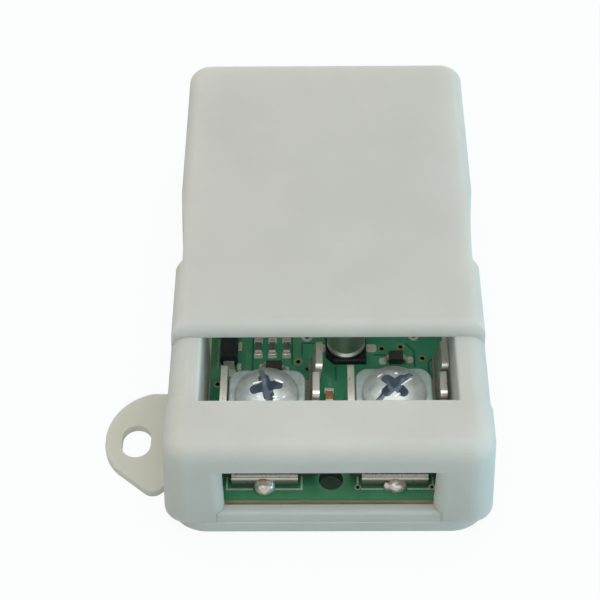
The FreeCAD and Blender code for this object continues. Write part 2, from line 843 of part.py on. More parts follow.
def make_screw(side):
    """A pan-head screw with a slot across the head and a deeper cross at its middle."""
    z = floor_top + wire_gap(side) + plate_thickness + head_seat_gap
    profile = Part.Face(Part.Wire(head_profile(head_diameter / 2, head_height, head_rim, z)))
    head = profile.revolve(vec(0, 0, 0), vec(0, 0, 1), 360)
    shank = rod(0, 0, z - screw_length, z, screw_diameter)
    tip = edges_where(shank, lambda p: abs(p.z - z + screw_length) < 0.01)
    screw = fuse([head, shank.makeChamfer(screw_tip_chamfer, tip)])
    top = z + head_height
    far = head_diameter
    slot = box(-far, far, -slot_width / 2, slot_width / 2, top - slot_depth, top + 1)
    screw = screw.cut(slot)
    for turn in (0, 90):
        screw = screw.cut(cross_arm(top, turn))
    turned = left_recess_turn if side < 0 else right_recess_turn
    screw.rotate(vec(0, 0, 0), vec(0, 0, 1), turned)
    screw.translate(vec(terminal_x(side), at(screw_place), 0))
    return screw


def cross_arm(top, turn):
    """One arm pair of the cross recess, round-ended and narrowing as it goes down."""
    half = cross_length / 2
    outline = [
        vec(-half, 0, top + 0.5), vec(half, 0, top + 0.5), vec(half * 0.85, 0, top - cross_depth * 0.55),
        vec(half * 0.35, 0, top - cross_depth), vec(-half * 0.35, 0, top - cross_depth),
        vec(-half * 0.85, 0, top - cross_depth * 0.55),
    ]
    arm = polygon(outline).extrude(vec(0, cross_width, 0))
    arm.translate(vec(0, -cross_width / 2, 0))
    arm.rotate(vec(0, 0, 0), vec(0, 0, 1), 90)
    arm = arm.common(slot_hole(0, 0, cross_width, cross_length, top - head_height, top + 1))
    arm.rotate(vec(0, 0, 0), vec(0, 0, 1), turn)
    return arm


def solder_dome(x, y, radius, height):
    """A solder blob on the board: a round foot, a full belly and a small flat crown, all as cones."""
    points = [
        vec(0, 0, 0), vec(radius * 0.9, 0, 0), vec(radius, 0, height * 0.3),
        vec(radius * 0.86, 0, height * 0.65), vec(radius * 0.5, 0, height * 0.92), vec(0, 0, height),
    ]
    dome = polygon(points).revolve(vec(0, 0, 0), vec(0, 0, 1), 360)
    dome.translate(vec(x, y, board_top))
    return dome


def make_terminal_solder():
    blobs = []
    for side in (-1, 1):
        x = flange_x(side)
        keep_off = make_bracket(side)
        front_blob = solder_dome(x, at(solder_place), solder_radius, solder_height)
        inside_lip = box(x - flange_half, x + flange_half, at(flange_front) + sheet / 2,
                         at(solder_place) + solder_radius + 1, board_top - 1, floor_top)
        front_blob = front_blob.cut(inside_lip)
        back_x = terminal_x(side) + right_wall_inside + sheet / 2
        back_y = at(rear_tab_end) - lead_width / 2
        back_blob = solder_dome(back_x, back_y, rear_solder_radius, rear_solder_height)
        for blob in (front_blob, back_blob):
            blobs.append(blob.cut(keep_off))
    return Part.makeCompound(blobs)


def make_capacitor_base():
    """A square plinth with its two left corners cut off."""
    half = can_base / 2
    cut = can_base_cut
    x, y = can_x, at(can_place)
    points = [
        (-half + cut, -half), (half, -half), (half, half),
        (-half + cut, half), (-half, half - cut), (-half, -half + cut),
    ]
    outline = [vec(x + a, y + b, board_top) for a, b in points]
    plinth = polygon(outline).extrude(vec(0, 0, can_base_height))
    top = edges_where(plinth, lambda p: abs(p.z - board_top - can_base_height) < 0.01)
    return plinth.makeChamfer(can_base_chamfer, top)


def make_capacitor_can():
    """An aluminium can with a rolled groove over its base and a rounded top edge."""
    r = can_diameter / 2
    z0 = board_top + can_base_height
    z1 = z0 + can_height
    foot = z0 + can_foot_radius
    groove_low = z0 + can_groove_low
    groove_high = groove_low + can_groove_width
    groove_turn = can_groove_width / 3
    edge = can_edge_radius
    turn = edge * (1 - math.sqrt(0.5))
    bend = vec(r - can_foot_radius * (1 - math.sqrt(0.5)), 0, z0 + can_foot_radius * (1 - math.sqrt(0.5)))
    edges = [
        Part.makeLine(vec(0, 0, z0), vec(r - can_foot_radius, 0, z0)),
        Part.Arc(vec(r - can_foot_radius, 0, z0), bend, vec(r, 0, foot)).toShape(),
        Part.makeLine(vec(r, 0, foot), vec(r, 0, groove_low)),
        Part.makeLine(vec(r, 0, groove_low), vec(r - can_groove_depth, 0, groove_low + groove_turn)),
        Part.makeLine(vec(r - can_groove_depth, 0, groove_low + groove_turn),
                      vec(r - can_groove_depth, 0, groove_high - groove_turn)),
        Part.makeLine(vec(r - can_groove_depth, 0, groove_high - groove_turn), vec(r, 0, groove_high)),
        Part.makeLine(vec(r, 0, groove_high), vec(r, 0, z1 - edge)),
        Part.Arc(vec(r, 0, z1 - edge), vec(r - turn, 0, z1 - turn), vec(r - edge, 0, z1)).toShape(),
        Part.makeLine(vec(r - edge, 0, z1), vec(0, 0, z1)),
        Part.makeLine(vec(0, 0, z1), vec(0, 0, z0)),
    ]
    can = Part.Face(Part.Wire(edges)).revolve(vec(0, 0, 0), vec(0, 0, 1), 360)
    can.translate(vec(can_x, at(can_place), 0))
    return can


def moulded_body(x, place, width, length, height):
    """A moulded package: its sides slope both ways from a parting line at mid height."""
    slope = height * 0.08
    y = at(place)
    z = board_top + body_lift
    wires = []
    for level, inset in ((z, slope), (z + height / 2, 0), (z + height, slope)):
        a, b = width / 2 - inset, length / 2 - inset
        corners = [
            vec(x - a, y - b, level), vec(x + a, y - b, level),
            vec(x + a, y + b, level), vec(x - a, y + b, level),
        ]
        wires.append(Part.makePolygon(corners + [corners[0]]))
    return Part.makeLoft(wires, True, True)


def gull_lead(x, y, width, body_half, body_height, reach, along_x, sign):
    """One gull-wing lead: out of the body at mid height, down, and flat on the board."""
    t = lead_sheet
    z = board_top
    inner = body_half + lead_gap
    outer = inner + reach
    high = body_lift + body_height / 2 + t / 2
    profile = [
        (inner, high), (inner + 0.4 * reach, high), (inner + 0.6 * reach, t), (outer, t),
        (outer, 0), (inner + 0.5 * reach, 0), (inner + 0.3 * reach, high - t), (inner, high - t),
    ]
    points = []
    for out, up in profile:
        if along_x:
            points.append(vec(x + sign * out, y - width / 2, z + up))
        else:
            points.append(vec(x - width / 2, y + sign * out, z + up))
    across = vec(0, width, 0) if along_x else vec(width, 0, 0)
    return polygon(points).extrude(across)


def make_diode(x, place):
    """A black two-lead diode with its long side along Y."""
    return moulded_body(x, place, diode_width, diode_length, diode_height)


def make_diode_leads(x, place):
    leads = []
    for sign in (-1, 1):
        leads.append(gull_lead(x, at(place), diode_lead_width, diode_length / 2, diode_height,
                               diode_lead_reach, False, sign))
    return Part.makeCompound(leads)


def chip_part(x, place, width, height):
    """The body and the two metal ends of a rectangular chip part whose length lies along Y."""
    y, z = at(place), board_top
    x0, x1 = x - width / 2, x + width / 2
    half = chip_length / 2
    body = box(x0, x1, y - half + chip_end, y + half - chip_end, z, z + height)
    ends = []
    for sign in (-1, 1):
        y0, y1 = sorted([y + sign * half, y + sign * (half - chip_end)])
        cap = box(x0, x1, y0, y1, z, z + height + chip_end_rise)
        outer = edges_where(cap, lambda p: p.z > z + height and abs(p.y - y - sign * half) < 0.01)
        ends.append(cap.makeFillet(chip_end_radius, outer))
    return body, ends


def resistor_parts():
    parts = []
    for i in range(resistor_count):
        x = resistor_first_x + i * resistor_pitch
        parts.append(chip_part(x, resistor_place, chip_width, chip_height))
    return parts


def ceramic_parts():
    """One small ceramic capacitor between the terminals and a row beside the controller."""
    parts = [chip_part(front_ceramic_x, front_ceramic_place, ceramic_width, ceramic_height)]
    for i in range(rear_ceramic_count):
        x = rear_ceramic_x + i * rear_ceramic_pitch
        parts.append(chip_part(x, rear_ceramic_place, ceramic_width, ceramic_height))
    return parts


def chip_bodies(parts):
    return Part.makeCompound([body for body, ends in parts])


def make_chip_end_caps():
    return Part.makeCompound([end for body, ends in resistor_parts() + ceramic_parts() for end in ends])


def make_transistor():
    """The small three-lead transistor by the left terminal."""
    return moulded_body(transistor_x, transistor_place, transistor_width, transistor_length,
                        transistor_height)


def make_signal_diode():
    """The small two-lead diode by the right terminal."""
    return moulded_body(signal_diode_x, signal_diode_place, signal_diode_width, signal_diode_length,
                        signal_diode_height)


def make_small_leads():
    leads = []
    y = at(transistor_place)
    spread = transistor_lead_spread
    for lead_y, sign in ((y, 1), (y - spread, -1), (y + spread, -1)):
        leads.append(gull_lead(transistor_x, lead_y, small_lead_width, transistor_width / 2,
                               transistor_height, small_lead_reach, True, sign))
    for sign in (-1, 1):
        leads.append(gull_lead(signal_diode_x, at(signal_diode_place), signal_diode_lead_width,
                               signal_diode_width / 2, signal_diode_height, small_lead_reach, True, sign))
    return Part.makeCompound(leads)


def make_controller():
    """The control chip, hidden under the tall end."""
    return moulded_body(controller_x, controller_place, controller_width, controller_length,
                        controller_height)


def make_controller_leads():
    leads = []
    first = -controller_lead_spacing * (controller_side_leads - 1) / 2
    for i in range(controller_side_leads):
        y = at(controller_place) + first + i * controller_lead_spacing
        for sign in (-1, 1):
            leads.append(gull_lead(controller_x, y, small_lead_width, controller_width / 2,
                                   controller_height, controller_lead_reach, True, sign))
    return Part.makeCompound(leads)


def make_crystal():
    """A low metal-can crystal: an oval drawn can over a flanged base."""
    half_x, half_y = crystal_length / 2, crystal_width / 2
    rim = crystal_flange_width
    z0 = board_top + body_lift
    z1 = z0 + crystal_flange_thickness
    z2 = z0 + crystal_height
    flange = Part.Face(rounded_plan(half_x + rim, half_y + rim, half_y + rim - 0.1, z0))
    can = Part.Face(rounded_plan(half_x, half_y, half_y - 0.1, z1)).extrude(vec(0, 0, z2 - z1))
    can = can.makeFillet(crystal_edge_radius, edges_where(can, lambda p: abs(p.z - z2) < 0.01))
    crystal = fuse([flange.extrude(vec(0, 0, z1 - z0)), can])
    crystal.translate(vec(crystal_x, at(crystal_place), 0))
    return crystal
def relay_centre():
    return relay_x, at(relay_place)


def relay_pins():
    """The places of the relay's five pins."""
    x, y = relay_centre()
    reach = relay_length / 2 - relay_pin_inset
    spread = relay_pin_spread
    return [
        (x - spread, y + reach), (x + spread, y + reach), (x, y + reach),
        (x - spread, y - reach), (x + spread, y - reach),
    ]


def make_relay_base():
    x, y = relay_centre()
    z = board_top + relay_standoff
    inset = relay_wall + relay_base_clearance
    plan = Part.Face(rounded_plan(relay_width / 2 - inset, relay_length / 2 - inset, relay_inner_corner, z))
    base = plan.extrude(vec(0, 0, relay_base_thickness))
    base.translate(vec(x, y, 0))
    for px, py in relay_pins():
        base = base.cut(rod(px, py, z - 1, z + relay_base_thickness + 1, relay_pin_diameter))
    return base


def make_relay_cover():
    """A thin five-sided cap over the relay's works."""
    x, y = relay_centre()
    z0 = board_top + relay_standoff
    half_x, half_y = relay_width / 2, relay_length / 2
    outer = Part.Face(rounded_plan(half_x, half_y, relay_corner, z0)).extrude(vec(0, 0, relay_height))
    top = edges_where(outer, lambda p: abs(p.z - z0 - relay_height) < 0.01)
    outer = outer.makeFillet(relay_edge_radius, top)
    inner_plan = rounded_plan(half_x - relay_wall, half_y - relay_wall, relay_inner_corner, z0 - 1)
    inner = Part.Face(inner_plan).extrude(vec(0, 0, relay_height + 1 - relay_wall))
    cap = outer.cut(inner)
    cap.translate(vec(x, y, 0))
    return cap


def make_relay_pins():
    z0 = board_height - relay_pin_drop
    z1 = board_top + relay_standoff + relay_base_thickness
    return Part.makeCompound([rod(x, y, z0, z1, relay_pin_diameter) for x, y in relay_pins()])


def relay_levels():
    """Heights in the relay, from its base up to the underside of the armature."""
    foot = board_top + relay_standoff + relay_base_thickness
    spool = foot + yoke_sheet
    pole = armature_level - armature_gap - pole_thickness
    return foot, spool, pole, armature_level


def coil_place():
    x, y = relay_centre()
    return x, y + coil_shift


def yoke_leg():
    """The Y of the yoke's upright leg, behind the coil."""
    return coil_place()[1] + coil_diameter / 2 + yoke_coil_gap


def make_relay_yoke():
    """The L-shaped iron frame under and behind the coil, with the core standing on its foot."""
    x, y = coil_place()
    foot, spool, pole, armature = relay_levels()
    leg = yoke_leg()
    toe = y - yoke_foot_reach
    top = armature - armature_clearance
    side = [
        vec(x, toe, foot), vec(x, leg + yoke_sheet, foot), vec(x, leg + yoke_sheet, top),
        vec(x, leg, top), vec(x, leg, spool), vec(x, toe, spool),
    ]
    frame = polygon(side).extrude(vec(yoke_width, 0, 0))
    frame.translate(vec(-yoke_width / 2, 0, 0))
    bend = edges_where(frame, lambda p: abs(p.z - foot) < 0.01 and abs(p.y - leg - yoke_sheet) < 0.01)
    frame = frame.makeFillet(yoke_bend, bend)
    core = rod(x, y, foot + yoke_sheet / 2, pole + pole_thickness / 2, core_diameter)
    head = rod(x, y, pole, pole + pole_thickness, pole_diameter)
    return fuse([frame, core, head])


def make_relay_bobbin():
    x, y = coil_place()
    spool, pole = relay_levels()[1:3]
    flange = coil_diameter + 2 * flange_overhang
    low = rod(x, y, spool, spool + flange_thickness, flange)
    high = rod(x, y, pole - flange_thickness, pole, flange)
    tube = rod(x, y, spool, pole, core_diameter + 2 * tube_wall)
    bore = rod(x, y, spool - 1, pole + 1, core_diameter + 2 * core_clearance)
    return fuse([low, high, tube]).cut(bore)


def make_relay_coil():
    x, y = coil_place()
    spool, pole = relay_levels()[1:3]
    winding = rod(x, y, spool + flange_thickness, pole - flange_thickness, coil_diameter)
    return winding.cut(rod(x, y, spool, pole, core_diameter + 2 * tube_wall))


def contact_place():
    x, y = relay_centre()
    return x, y - relay_length / 2 + contact_inset


def contact_levels():
    """The bottom and the top of the moving contact's bead at rest."""
    sheet_top = relay_levels()[3] + armature_sheet
    return sheet_top - contact_below, sheet_top + contact_above


def make_relay_armature():
    """The iron flap over the core, hinged at the yoke's leg, with the contact spring riveted on top."""
    x, y = coil_place()
    under = relay_levels()[3]
    top = under + armature_sheet
    half = armature_width / 2
    flap = box(x - half, x + half, y - armature_front, yoke_leg() + yoke_sheet, under, top)
    cx, cy = contact_place()
    low, high = contact_levels()
    bead = rod(cx, cy, low, high, contact_diameter)
    half = spring_width / 2
    spring_front = cy - contact_diameter / 2 - spring_margin
    spring = box(x - half, x + half, spring_front, y + spring_back, top, top + spring_sheet)
    rivets = [rod(x, y + dy, top, top + rivet_height, rivet_diameter) for dy in (-rivet_spread, rivet_spread)]
    return fuse([flap, spring, bead] + rivets)


def contact_stem(side, z0, z1):
    """A fixed contact: a shelf at the moving contact, on a stem beside it that stands on the base."""
    cx, cy = contact_place()
    foot = relay_levels()[0]
    radius = contact_diameter / 2
    back = cy - radius - spring_margin
    front = back - stem_sheet
    stem_x = cx + side * stem_spread
    stem = box(stem_x - stem_width / 2, stem_x + stem_width / 2, front, back, foot, z1)
    x0, x1 = sorted([cx - side * radius, stem_x + side * stem_width / 2])
    shelf = box(x0, x1, front, cy + radius, z0, z1)
    return fuse([stem, shelf])


def make_fixed_contacts():
    """The two fixed contacts, below and above the moving one."""
    low, high = contact_levels()
    reach = yoke_leg() + yoke_sheet / 2 - contact_place()[1] + contact_diameter / 2
    travel = reach * math.sin(math.radians(armature_swing_deg)) + contact_clearance
    under = low - travel
    over = high + rest_contact_gap
    lower = contact_stem(-1, under - shelf_thickness, under)
    upper = contact_stem(1, over, over + shelf_thickness)
    return Part.makeCompound([lower, upper])


def write(name, shape):
    """One file for each sub-part, with its volume printed for a quick look."""
    shape.exportStep("parts/" + name + ".step")
    state = "valid" if shape.isValid() else "BAD"
    print(name, len(shape.Solids), "solids", round(shape.Volume, 2), "mm3", state)


def main():
    os.makedirs("parts", exist_ok=True)
    write("base_tray", make_base_tray())
    write("top_cover", make_top_cover())
    write("circuit_board", make_circuit_board())
    for name, side in (("left", -1), ("right", 1)):
        write(name + "_terminal_bracket", make_bracket(side))
        write(name + "_clamp_plate", make_clamp_plate(side))
        write(name + "_terminal_screw", make_screw(side))
    write("terminal_solder", make_terminal_solder())
    write("capacitor_base", make_capacitor_base())
    write("capacitor_can", make_capacitor_can())
    write("surge_diode", make_diode(surge_diode_x, surge_diode_place))
    write("surge_diode_leads", make_diode_leads(surge_diode_x, surge_diode_place))
    write("chip_resistors", chip_bodies(resistor_parts()))
    write("ceramic_capacitors", chip_bodies(ceramic_parts()))
    write("chip_end_caps", make_chip_end_caps())
    write("transistor", make_transistor())
    write("signal_diode", make_signal_diode())
    write("small_part_leads", make_small_leads())
    write("controller_chip", make_controller())
    write("controller_leads", make_controller_leads())
    write("crystal", make_crystal())
    write("flyback_diode", make_diode(flyback_diode_x, flyback_diode_place))
    write("flyback_diode_leads", make_diode_leads(flyback_diode_x, flyback_diode_place))
    write("relay_base", make_relay_base())
    write("relay_cover", make_relay_cover())
    write("relay_pins", make_relay_pins())
    write("relay_yoke", make_relay_yoke())
    write("relay_bobbin", make_relay_bobbin())
    write("relay_coil", make_relay_coil())
    write("relay_armature", make_relay_armature())
    write("relay_fixed_contacts", make_fixed_contacts())


main()
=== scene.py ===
import math

import bmesh
import bpy
from mathutils import Matrix, Vector, noise


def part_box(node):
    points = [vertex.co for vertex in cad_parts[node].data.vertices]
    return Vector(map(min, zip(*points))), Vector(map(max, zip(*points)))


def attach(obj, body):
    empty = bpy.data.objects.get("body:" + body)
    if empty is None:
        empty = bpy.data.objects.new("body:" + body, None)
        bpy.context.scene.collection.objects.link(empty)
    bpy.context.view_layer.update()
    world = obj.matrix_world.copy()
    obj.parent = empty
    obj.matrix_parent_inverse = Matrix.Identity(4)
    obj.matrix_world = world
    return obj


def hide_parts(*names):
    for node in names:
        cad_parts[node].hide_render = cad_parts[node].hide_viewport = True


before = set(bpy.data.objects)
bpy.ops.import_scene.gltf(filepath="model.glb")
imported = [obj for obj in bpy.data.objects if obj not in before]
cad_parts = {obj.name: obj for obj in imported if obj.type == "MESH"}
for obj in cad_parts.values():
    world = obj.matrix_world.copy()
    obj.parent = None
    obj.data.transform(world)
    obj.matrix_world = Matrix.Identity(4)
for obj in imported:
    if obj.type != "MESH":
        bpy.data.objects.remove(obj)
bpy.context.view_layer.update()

# Lengths below are in millimetres and become metres where a mesh or a texture is made.
# Places along the housing are distances from its front end, as in the part's source.
MM = 0.001
FRONT = -33.0
BOARD_FOOT, BOARD_TOP = [corner.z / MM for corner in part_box("circuit_board")]
BRACKET_FLOOR = 6.8         # a height just over the brackets' floors
EAR_ROOT = -20.5            # X just outside the tray's left wall, where its fixing ear begins
FRONT_HOLE = (0.3, FRONT + 4.7)     # X and Y of the large hole near the board's front edge
HOLE_SHADE = 2.2            # half the width of the painted shade on the tray that is seen through that hole
LIGHT_THROUGH = 0.39        # share of the light that passes through the housing's walls
EDGE_SKIN = 0.05            # how near the board's rim a face counts as sawn edge


def at(place):
    return FRONT + place


def lin(red, green, blue):
    """A colour given in screen values, 0 to 255, as linear values."""
    out = []
    for c in (red, green, blue):
        c = c / 255
        out.append(((c + 0.055) / 1.055) ** 2.4 if c > 0.04045 else c / 12.92)
    return (*out, 1.0)


# Materials. All of them are procedural and take their places from object coordinates.

class Finish:
    """A procedural material: a principled shader with short ways to add nodes to it."""

    def __init__(self, name, metallic=0.0, roughness=0.5, specular=0.5):
        self.material = bpy.data.materials.new(name)
        self.material.use_nodes = True
        self.tree = self.material.node_tree
        self.shader = self.tree.nodes["Principled BSDF"]
        self.shader.inputs["Metallic"].default_value = metallic
        self.shader.inputs["Roughness"].default_value = roughness
        self.shader.inputs["Specular IOR Level"].default_value = specular
        coord = self.tree.nodes.new("ShaderNodeTexCoord")
        self.object = coord.outputs["Object"]
        self.normal = coord.outputs["Normal"]
        self.relief = None

    def add(self, kind, inputs=(), **settings):
        node = self.tree.nodes.new("ShaderNode" + kind)
        for key, value in settings.items():
            setattr(node, key, value)
        for key, value in dict(inputs).items():
            if isinstance(value, bpy.types.NodeSocket):
                self.tree.links.new(value, node.inputs[key])
            else:
                node.inputs[key].default_value = value
        return node

    def stretched(self, x, y, z):
        """Object coordinates scaled by a factor on each axis."""
        node = self.add("Mapping", {"Vector": self.object})
        node.inputs["Scale"].default_value = (x, y, z)
        return node.outputs["Vector"]

    def noise(self, size, detail=3.0, rough=0.55, vector=None, seed=0.0):
        """Noise whose blobs are about this many millimetres across."""
        node = self.add("TexNoise", {"Vector": vector or self.object}, noise_dimensions="4D")
        node.inputs["Scale"].default_value = 1 / (size * MM)
        node.inputs["Detail"].default_value = detail
        node.inputs["Roughness"].default_value = rough
        node.inputs["W"].default_value = seed
        return node.outputs["Fac"]

    def wave(self, size, direction, distortion=0.0):
        """Bands that repeat every so many millimetres along one axis."""
        node = self.add("TexWave", {"Vector": self.object}, bands_direction=direction)
        node.inputs["Scale"].default_value = 0.314 / (size * MM)
        node.inputs["Distortion"].default_value = distortion
        return node.outputs["Fac"]

    def part(self, axis, source=None):
        """One coordinate, X, Y or Z, of the place on the object or of another vector."""
        return self.add("SeparateXYZ", {"Vector": source or self.object}).outputs[axis]

    def math(self, operation, a, b=0.0):
        return self.add("Math", {0: a, 1: b}, operation=operation).outputs[0]

    def span(self, value, low, high, to_low=0.0, to_high=1.0):
        """A value that runs from one limit to the other, mapped onto a new range and held there."""
        node = self.add("MapRange", {"Value": value, "From Min": low, "From Max": high,
                                     "To Min": to_low, "To Max": to_high})
        return node.outputs["Result"]

    def ramp(self, value, stops):
        node = self.add("ValToRGB", {"Fac": value})
        points = node.color_ramp.elements
        while len(points) < len(stops):
            points.new(0.5)
        for point, (place, colour) in zip(points, stops):
            point.position = place
            point.color = colour
        return node.outputs["Color"]

    def mix(self, share, a, b):
        node = self.add("Mix", data_type="RGBA")
        for socket, value in zip((node.inputs[0], node.inputs[6], node.inputs[7]), (share, a, b)):
            if isinstance(value, bpy.types.NodeSocket):
                self.tree.links.new(value, socket)
            else:
                socket.default_value = value
        return node.outputs[2]

    def base(self):
        """The socket that gives the colour at present."""
        return self.shader.inputs["Base Color"].links[0].from_socket

    def colour(self, value):
        self.tree.links.new(value, self.shader.inputs["Base Color"])

    def roughness(self, value):
        self.tree.links.new(value, self.shader.inputs["Roughness"])

    def surface(self, other, share):
        """Mixes a second shader into the surface, in this share."""
        blend = self.add("MixShader", {0: share})
        self.tree.links.new(self.shader.outputs[0], blend.inputs[1])
        self.tree.links.new(other.outputs[0], blend.inputs[2])
        self.tree.links.new(blend.outputs[0], self.tree.nodes["Material Output"].inputs["Surface"])

    def bump(self, height, depth):
        """A relief this many millimetres deep, on top of those already given."""
        node = self.add("Bump", {"Height": height})
        node.inputs["Distance"].default_value = depth * MM
        node.inputs["Strength"].default_value = 1.0
        if self.relief:
            self.tree.links.new(self.relief, node.inputs["Normal"])
        self.relief = node.outputs["Normal"]
        self.tree.links.new(self.relief, self.shader.inputs["Normal"])


def cloudy(name, dark, light, size, rough, metallic=0.0, specular=0.5, grain=(0.3, 0.01), stretch=None):
    """A finish whose colour drifts between two tones, with a fine grain and uneven gloss.

    size is the drift's, in millimetres, and grain holds the grain's size and depth.
    """
    f = Finish(name, metallic, rough, specular)
    vector = f.stretched(*stretch) if stretch else None
    drift = f.noise(size, 4.0, 0.6, vector)
    f.colour(f.ramp(drift, [(0.3, dark), (0.7, light)]))
    f.roughness(f.span(f.noise(size * 0.4, 3.0, 0.6, vector, 3.0), 0.3, 0.7, rough * 0.85, rough * 1.15))
    f.bump(f.noise(grain[0], 2.0, 0.5, vector, 5.0), grain[1])
    return f


def two_tone(name, dark, light, size, rough, metallic=0.0, **more):
    """A cloudy material between two tones given in screen values."""
    return cloudy(name, lin(*dark), lin(*light), size, rough, metallic, **more).material


def housing_finish(name, tone, tray=False):
    """Moulded translucent off-white plastic with a fine spark-eroded grain.

    The tray's ear is yellower, and the tray carries a dark painted shade where the board's front hole shows
    it.
    """
    through_tone = lin(236, 238, 232)
    low = lin(*[c * 0.975 for c in tone])
    high = lin(*[c * 1.012 for c in tone])
    f = cloudy(name, low, high, 9.0, 0.52, specular=0.4, grain=(0.22, 0.006))
    f.bump(f.noise(3.5, 2.0, 0.5, f.stretched(1.0, 0.3, 1.0), 9.0), 0.012)
    through = f.add("BsdfTranslucent", {"Color": through_tone})
    if tray:
        inwards = f.span(f.part("X"), (EAR_ROOT - 1.0) * MM, (EAR_ROOT + 1.0) * MM)
        plastic = f.mix(inwards, lin(194, 194, 180), f.base())
        # Painted shade: the tray under the board's front hole, and the light that passes through it there,
        # are made dark green-grey.
        aside = f.math("ABSOLUTE", f.math("SUBTRACT", f.part("X"), FRONT_HOLE[0] * MM))
        along = f.math("ABSOLUTE", f.math("SUBTRACT", f.part("Y"), (FRONT_HOLE[1] + HOLE_SHADE) * MM))
        far = f.math("MAXIMUM", aside, f.math("MULTIPLY", along, 0.6))
        hole_painted_shade = f.math("MULTIPLY", f.math("LESS_THAN", far, HOLE_SHADE * MM),
                       f.math("LESS_THAN", f.part("Z"), (BOARD_FOOT + 0.5) * MM))
        f.colour(f.mix(hole_painted_shade, plastic, lin(52, 72, 60)))
        f.tree.links.new(f.mix(hole_painted_shade, through_tone, lin(138, 158, 144)), through.inputs["Color"])
    f.shader.inputs["Subsurface Weight"].default_value = 0.5
    f.shader.inputs["Subsurface Radius"].default_value = (1.0, 1.0, 0.9)
    f.shader.inputs["Subsurface Scale"].default_value = 0.0025
    f.surface(through, LIGHT_THROUGH)
    return f.material


def board_finish():
    """Green solder mask over glass weave with bare fibre at the sawn edges, with painted light and shade:
    paler towards the middle, darker at the front, and dark on the walls of its holes.
    """
    f = Finish("board_mask", 0.0, 0.36, 0.32)
    weave = f.math("ADD", f.math("MULTIPLY", f.wave(0.42, "X", 0.6), 0.5),
                   f.math("MULTIPLY", f.wave(0.42, "Y", 0.6), 0.5))
    tone = f.math("ADD", f.math("MULTIPLY", f.noise(4.0, 4.0, 0.6), 0.9), f.math("MULTIPLY", weave, 0.1))
    # Painted light and shade: the mask is darker at the front and paler under the block, blended from place
    # 11 to 24, for how the light falls there.
    front = f.ramp(tone, [(0.3, lin(42, 112, 74)), (0.5, lin(50, 124, 82)), (0.72, lin(66, 140, 94))])
    middle = f.ramp(tone, [(0.3, lin(70, 158, 120)), (0.5, lin(78, 172, 132)), (0.72, lin(94, 188, 146))])
    mask = f.mix(f.span(f.part("Y"), at(11.0) * MM, at(24.0) * MM), front, middle)
    fibre = f.ramp(f.noise(0.5, 3.0, 0.6, f.stretched(0.2, 0.2, 2.0)),
                   [(0.3, lin(138, 134, 98)), (0.7, lin(186, 178, 142))])
    depth = f.span(f.part("Z"), (BOARD_TOP - 0.55) * MM, (BOARD_TOP - 0.1) * MM)
    sawn = f.mix(depth, fibre, lin(72, 108, 72))
    low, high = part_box("circuit_board")
    aside = f.math("SUBTRACT", (high.x - low.x) / 2 - EDGE_SKIN * MM, f.math("ABSOLUTE", f.part("X")))
    ahead = f.math("SUBTRACT", f.part("Y"), low.y + EDGE_SKIN * MM)
    behind = f.math("SUBTRACT", high.y - EDGE_SKIN * MM, f.part("Y"))
    outer = f.math("LESS_THAN", f.math("MINIMUM", aside, f.math("MINIMUM", ahead, behind)), 0.0)
    # Painted shade: edge faces away from the board's rim, which are the walls of its holes, are dark green
    # in place of fibre.
    sawn = f.mix(outer, lin(58, 72, 54), sawn)
    flat = f.span(f.math("ABSOLUTE", f.part("Z", f.normal)), 0.4, 0.6)
    f.colour(f.mix(flat, sawn, mask))
    f.roughness(f.span(f.noise(1.2, 3.0, 0.6, None, 2.0), 0.3, 0.7, 0.32, 0.46))
    f.bump(weave, 0.003)
    return f.material


def black_body(name, tone, band=None):
    """Black moulding compound; band is a range of Y, in millimetres, that is printed pale."""
    f = Finish(name, 0.0, 0.48, 0.45)
    grain = f.noise(0.25, 4.0, 0.7)
    body = f.ramp(grain, [(0.35, lin(*[c * 0.75 for c in tone])), (0.65, lin(*[c * 1.25 for c in tone]))])
    if band:
        y = f.part("Y")
        inside = f.math("MULTIPLY", f.math("GREATER_THAN", y, band[0] * MM),
                        f.math("LESS_THAN", y, band[1] * MM))
        top = f.math("MULTIPLY", inside, f.math("GREATER_THAN", f.part("Z", f.normal), 0.7))
        body = f.mix(f.math("MULTIPLY", top, f.span(grain, 0.25, 0.45)), body, lin(142, 146, 150))
    f.colour(body)
    f.bump(grain, 0.012)
    return f.material


def cathode_band(node):
    """The range of Y, in millimetres, of the pale band near a diode's rear end."""
    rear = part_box(node)[1].y / MM
    return rear - 1.0, rear - 0.35


def screw_finish(name, dark, light, rough):
    """Bright plated steel with a fine grain and shallow dents."""
    f = cloudy(name, lin(*dark), lin(*light), 1.4, rough, 0.4, grain=(0.12, 0.003))
    f.bump(f.noise(0.9, 2.0, 0.5, None, 8.0), 0.02)
    return f.material


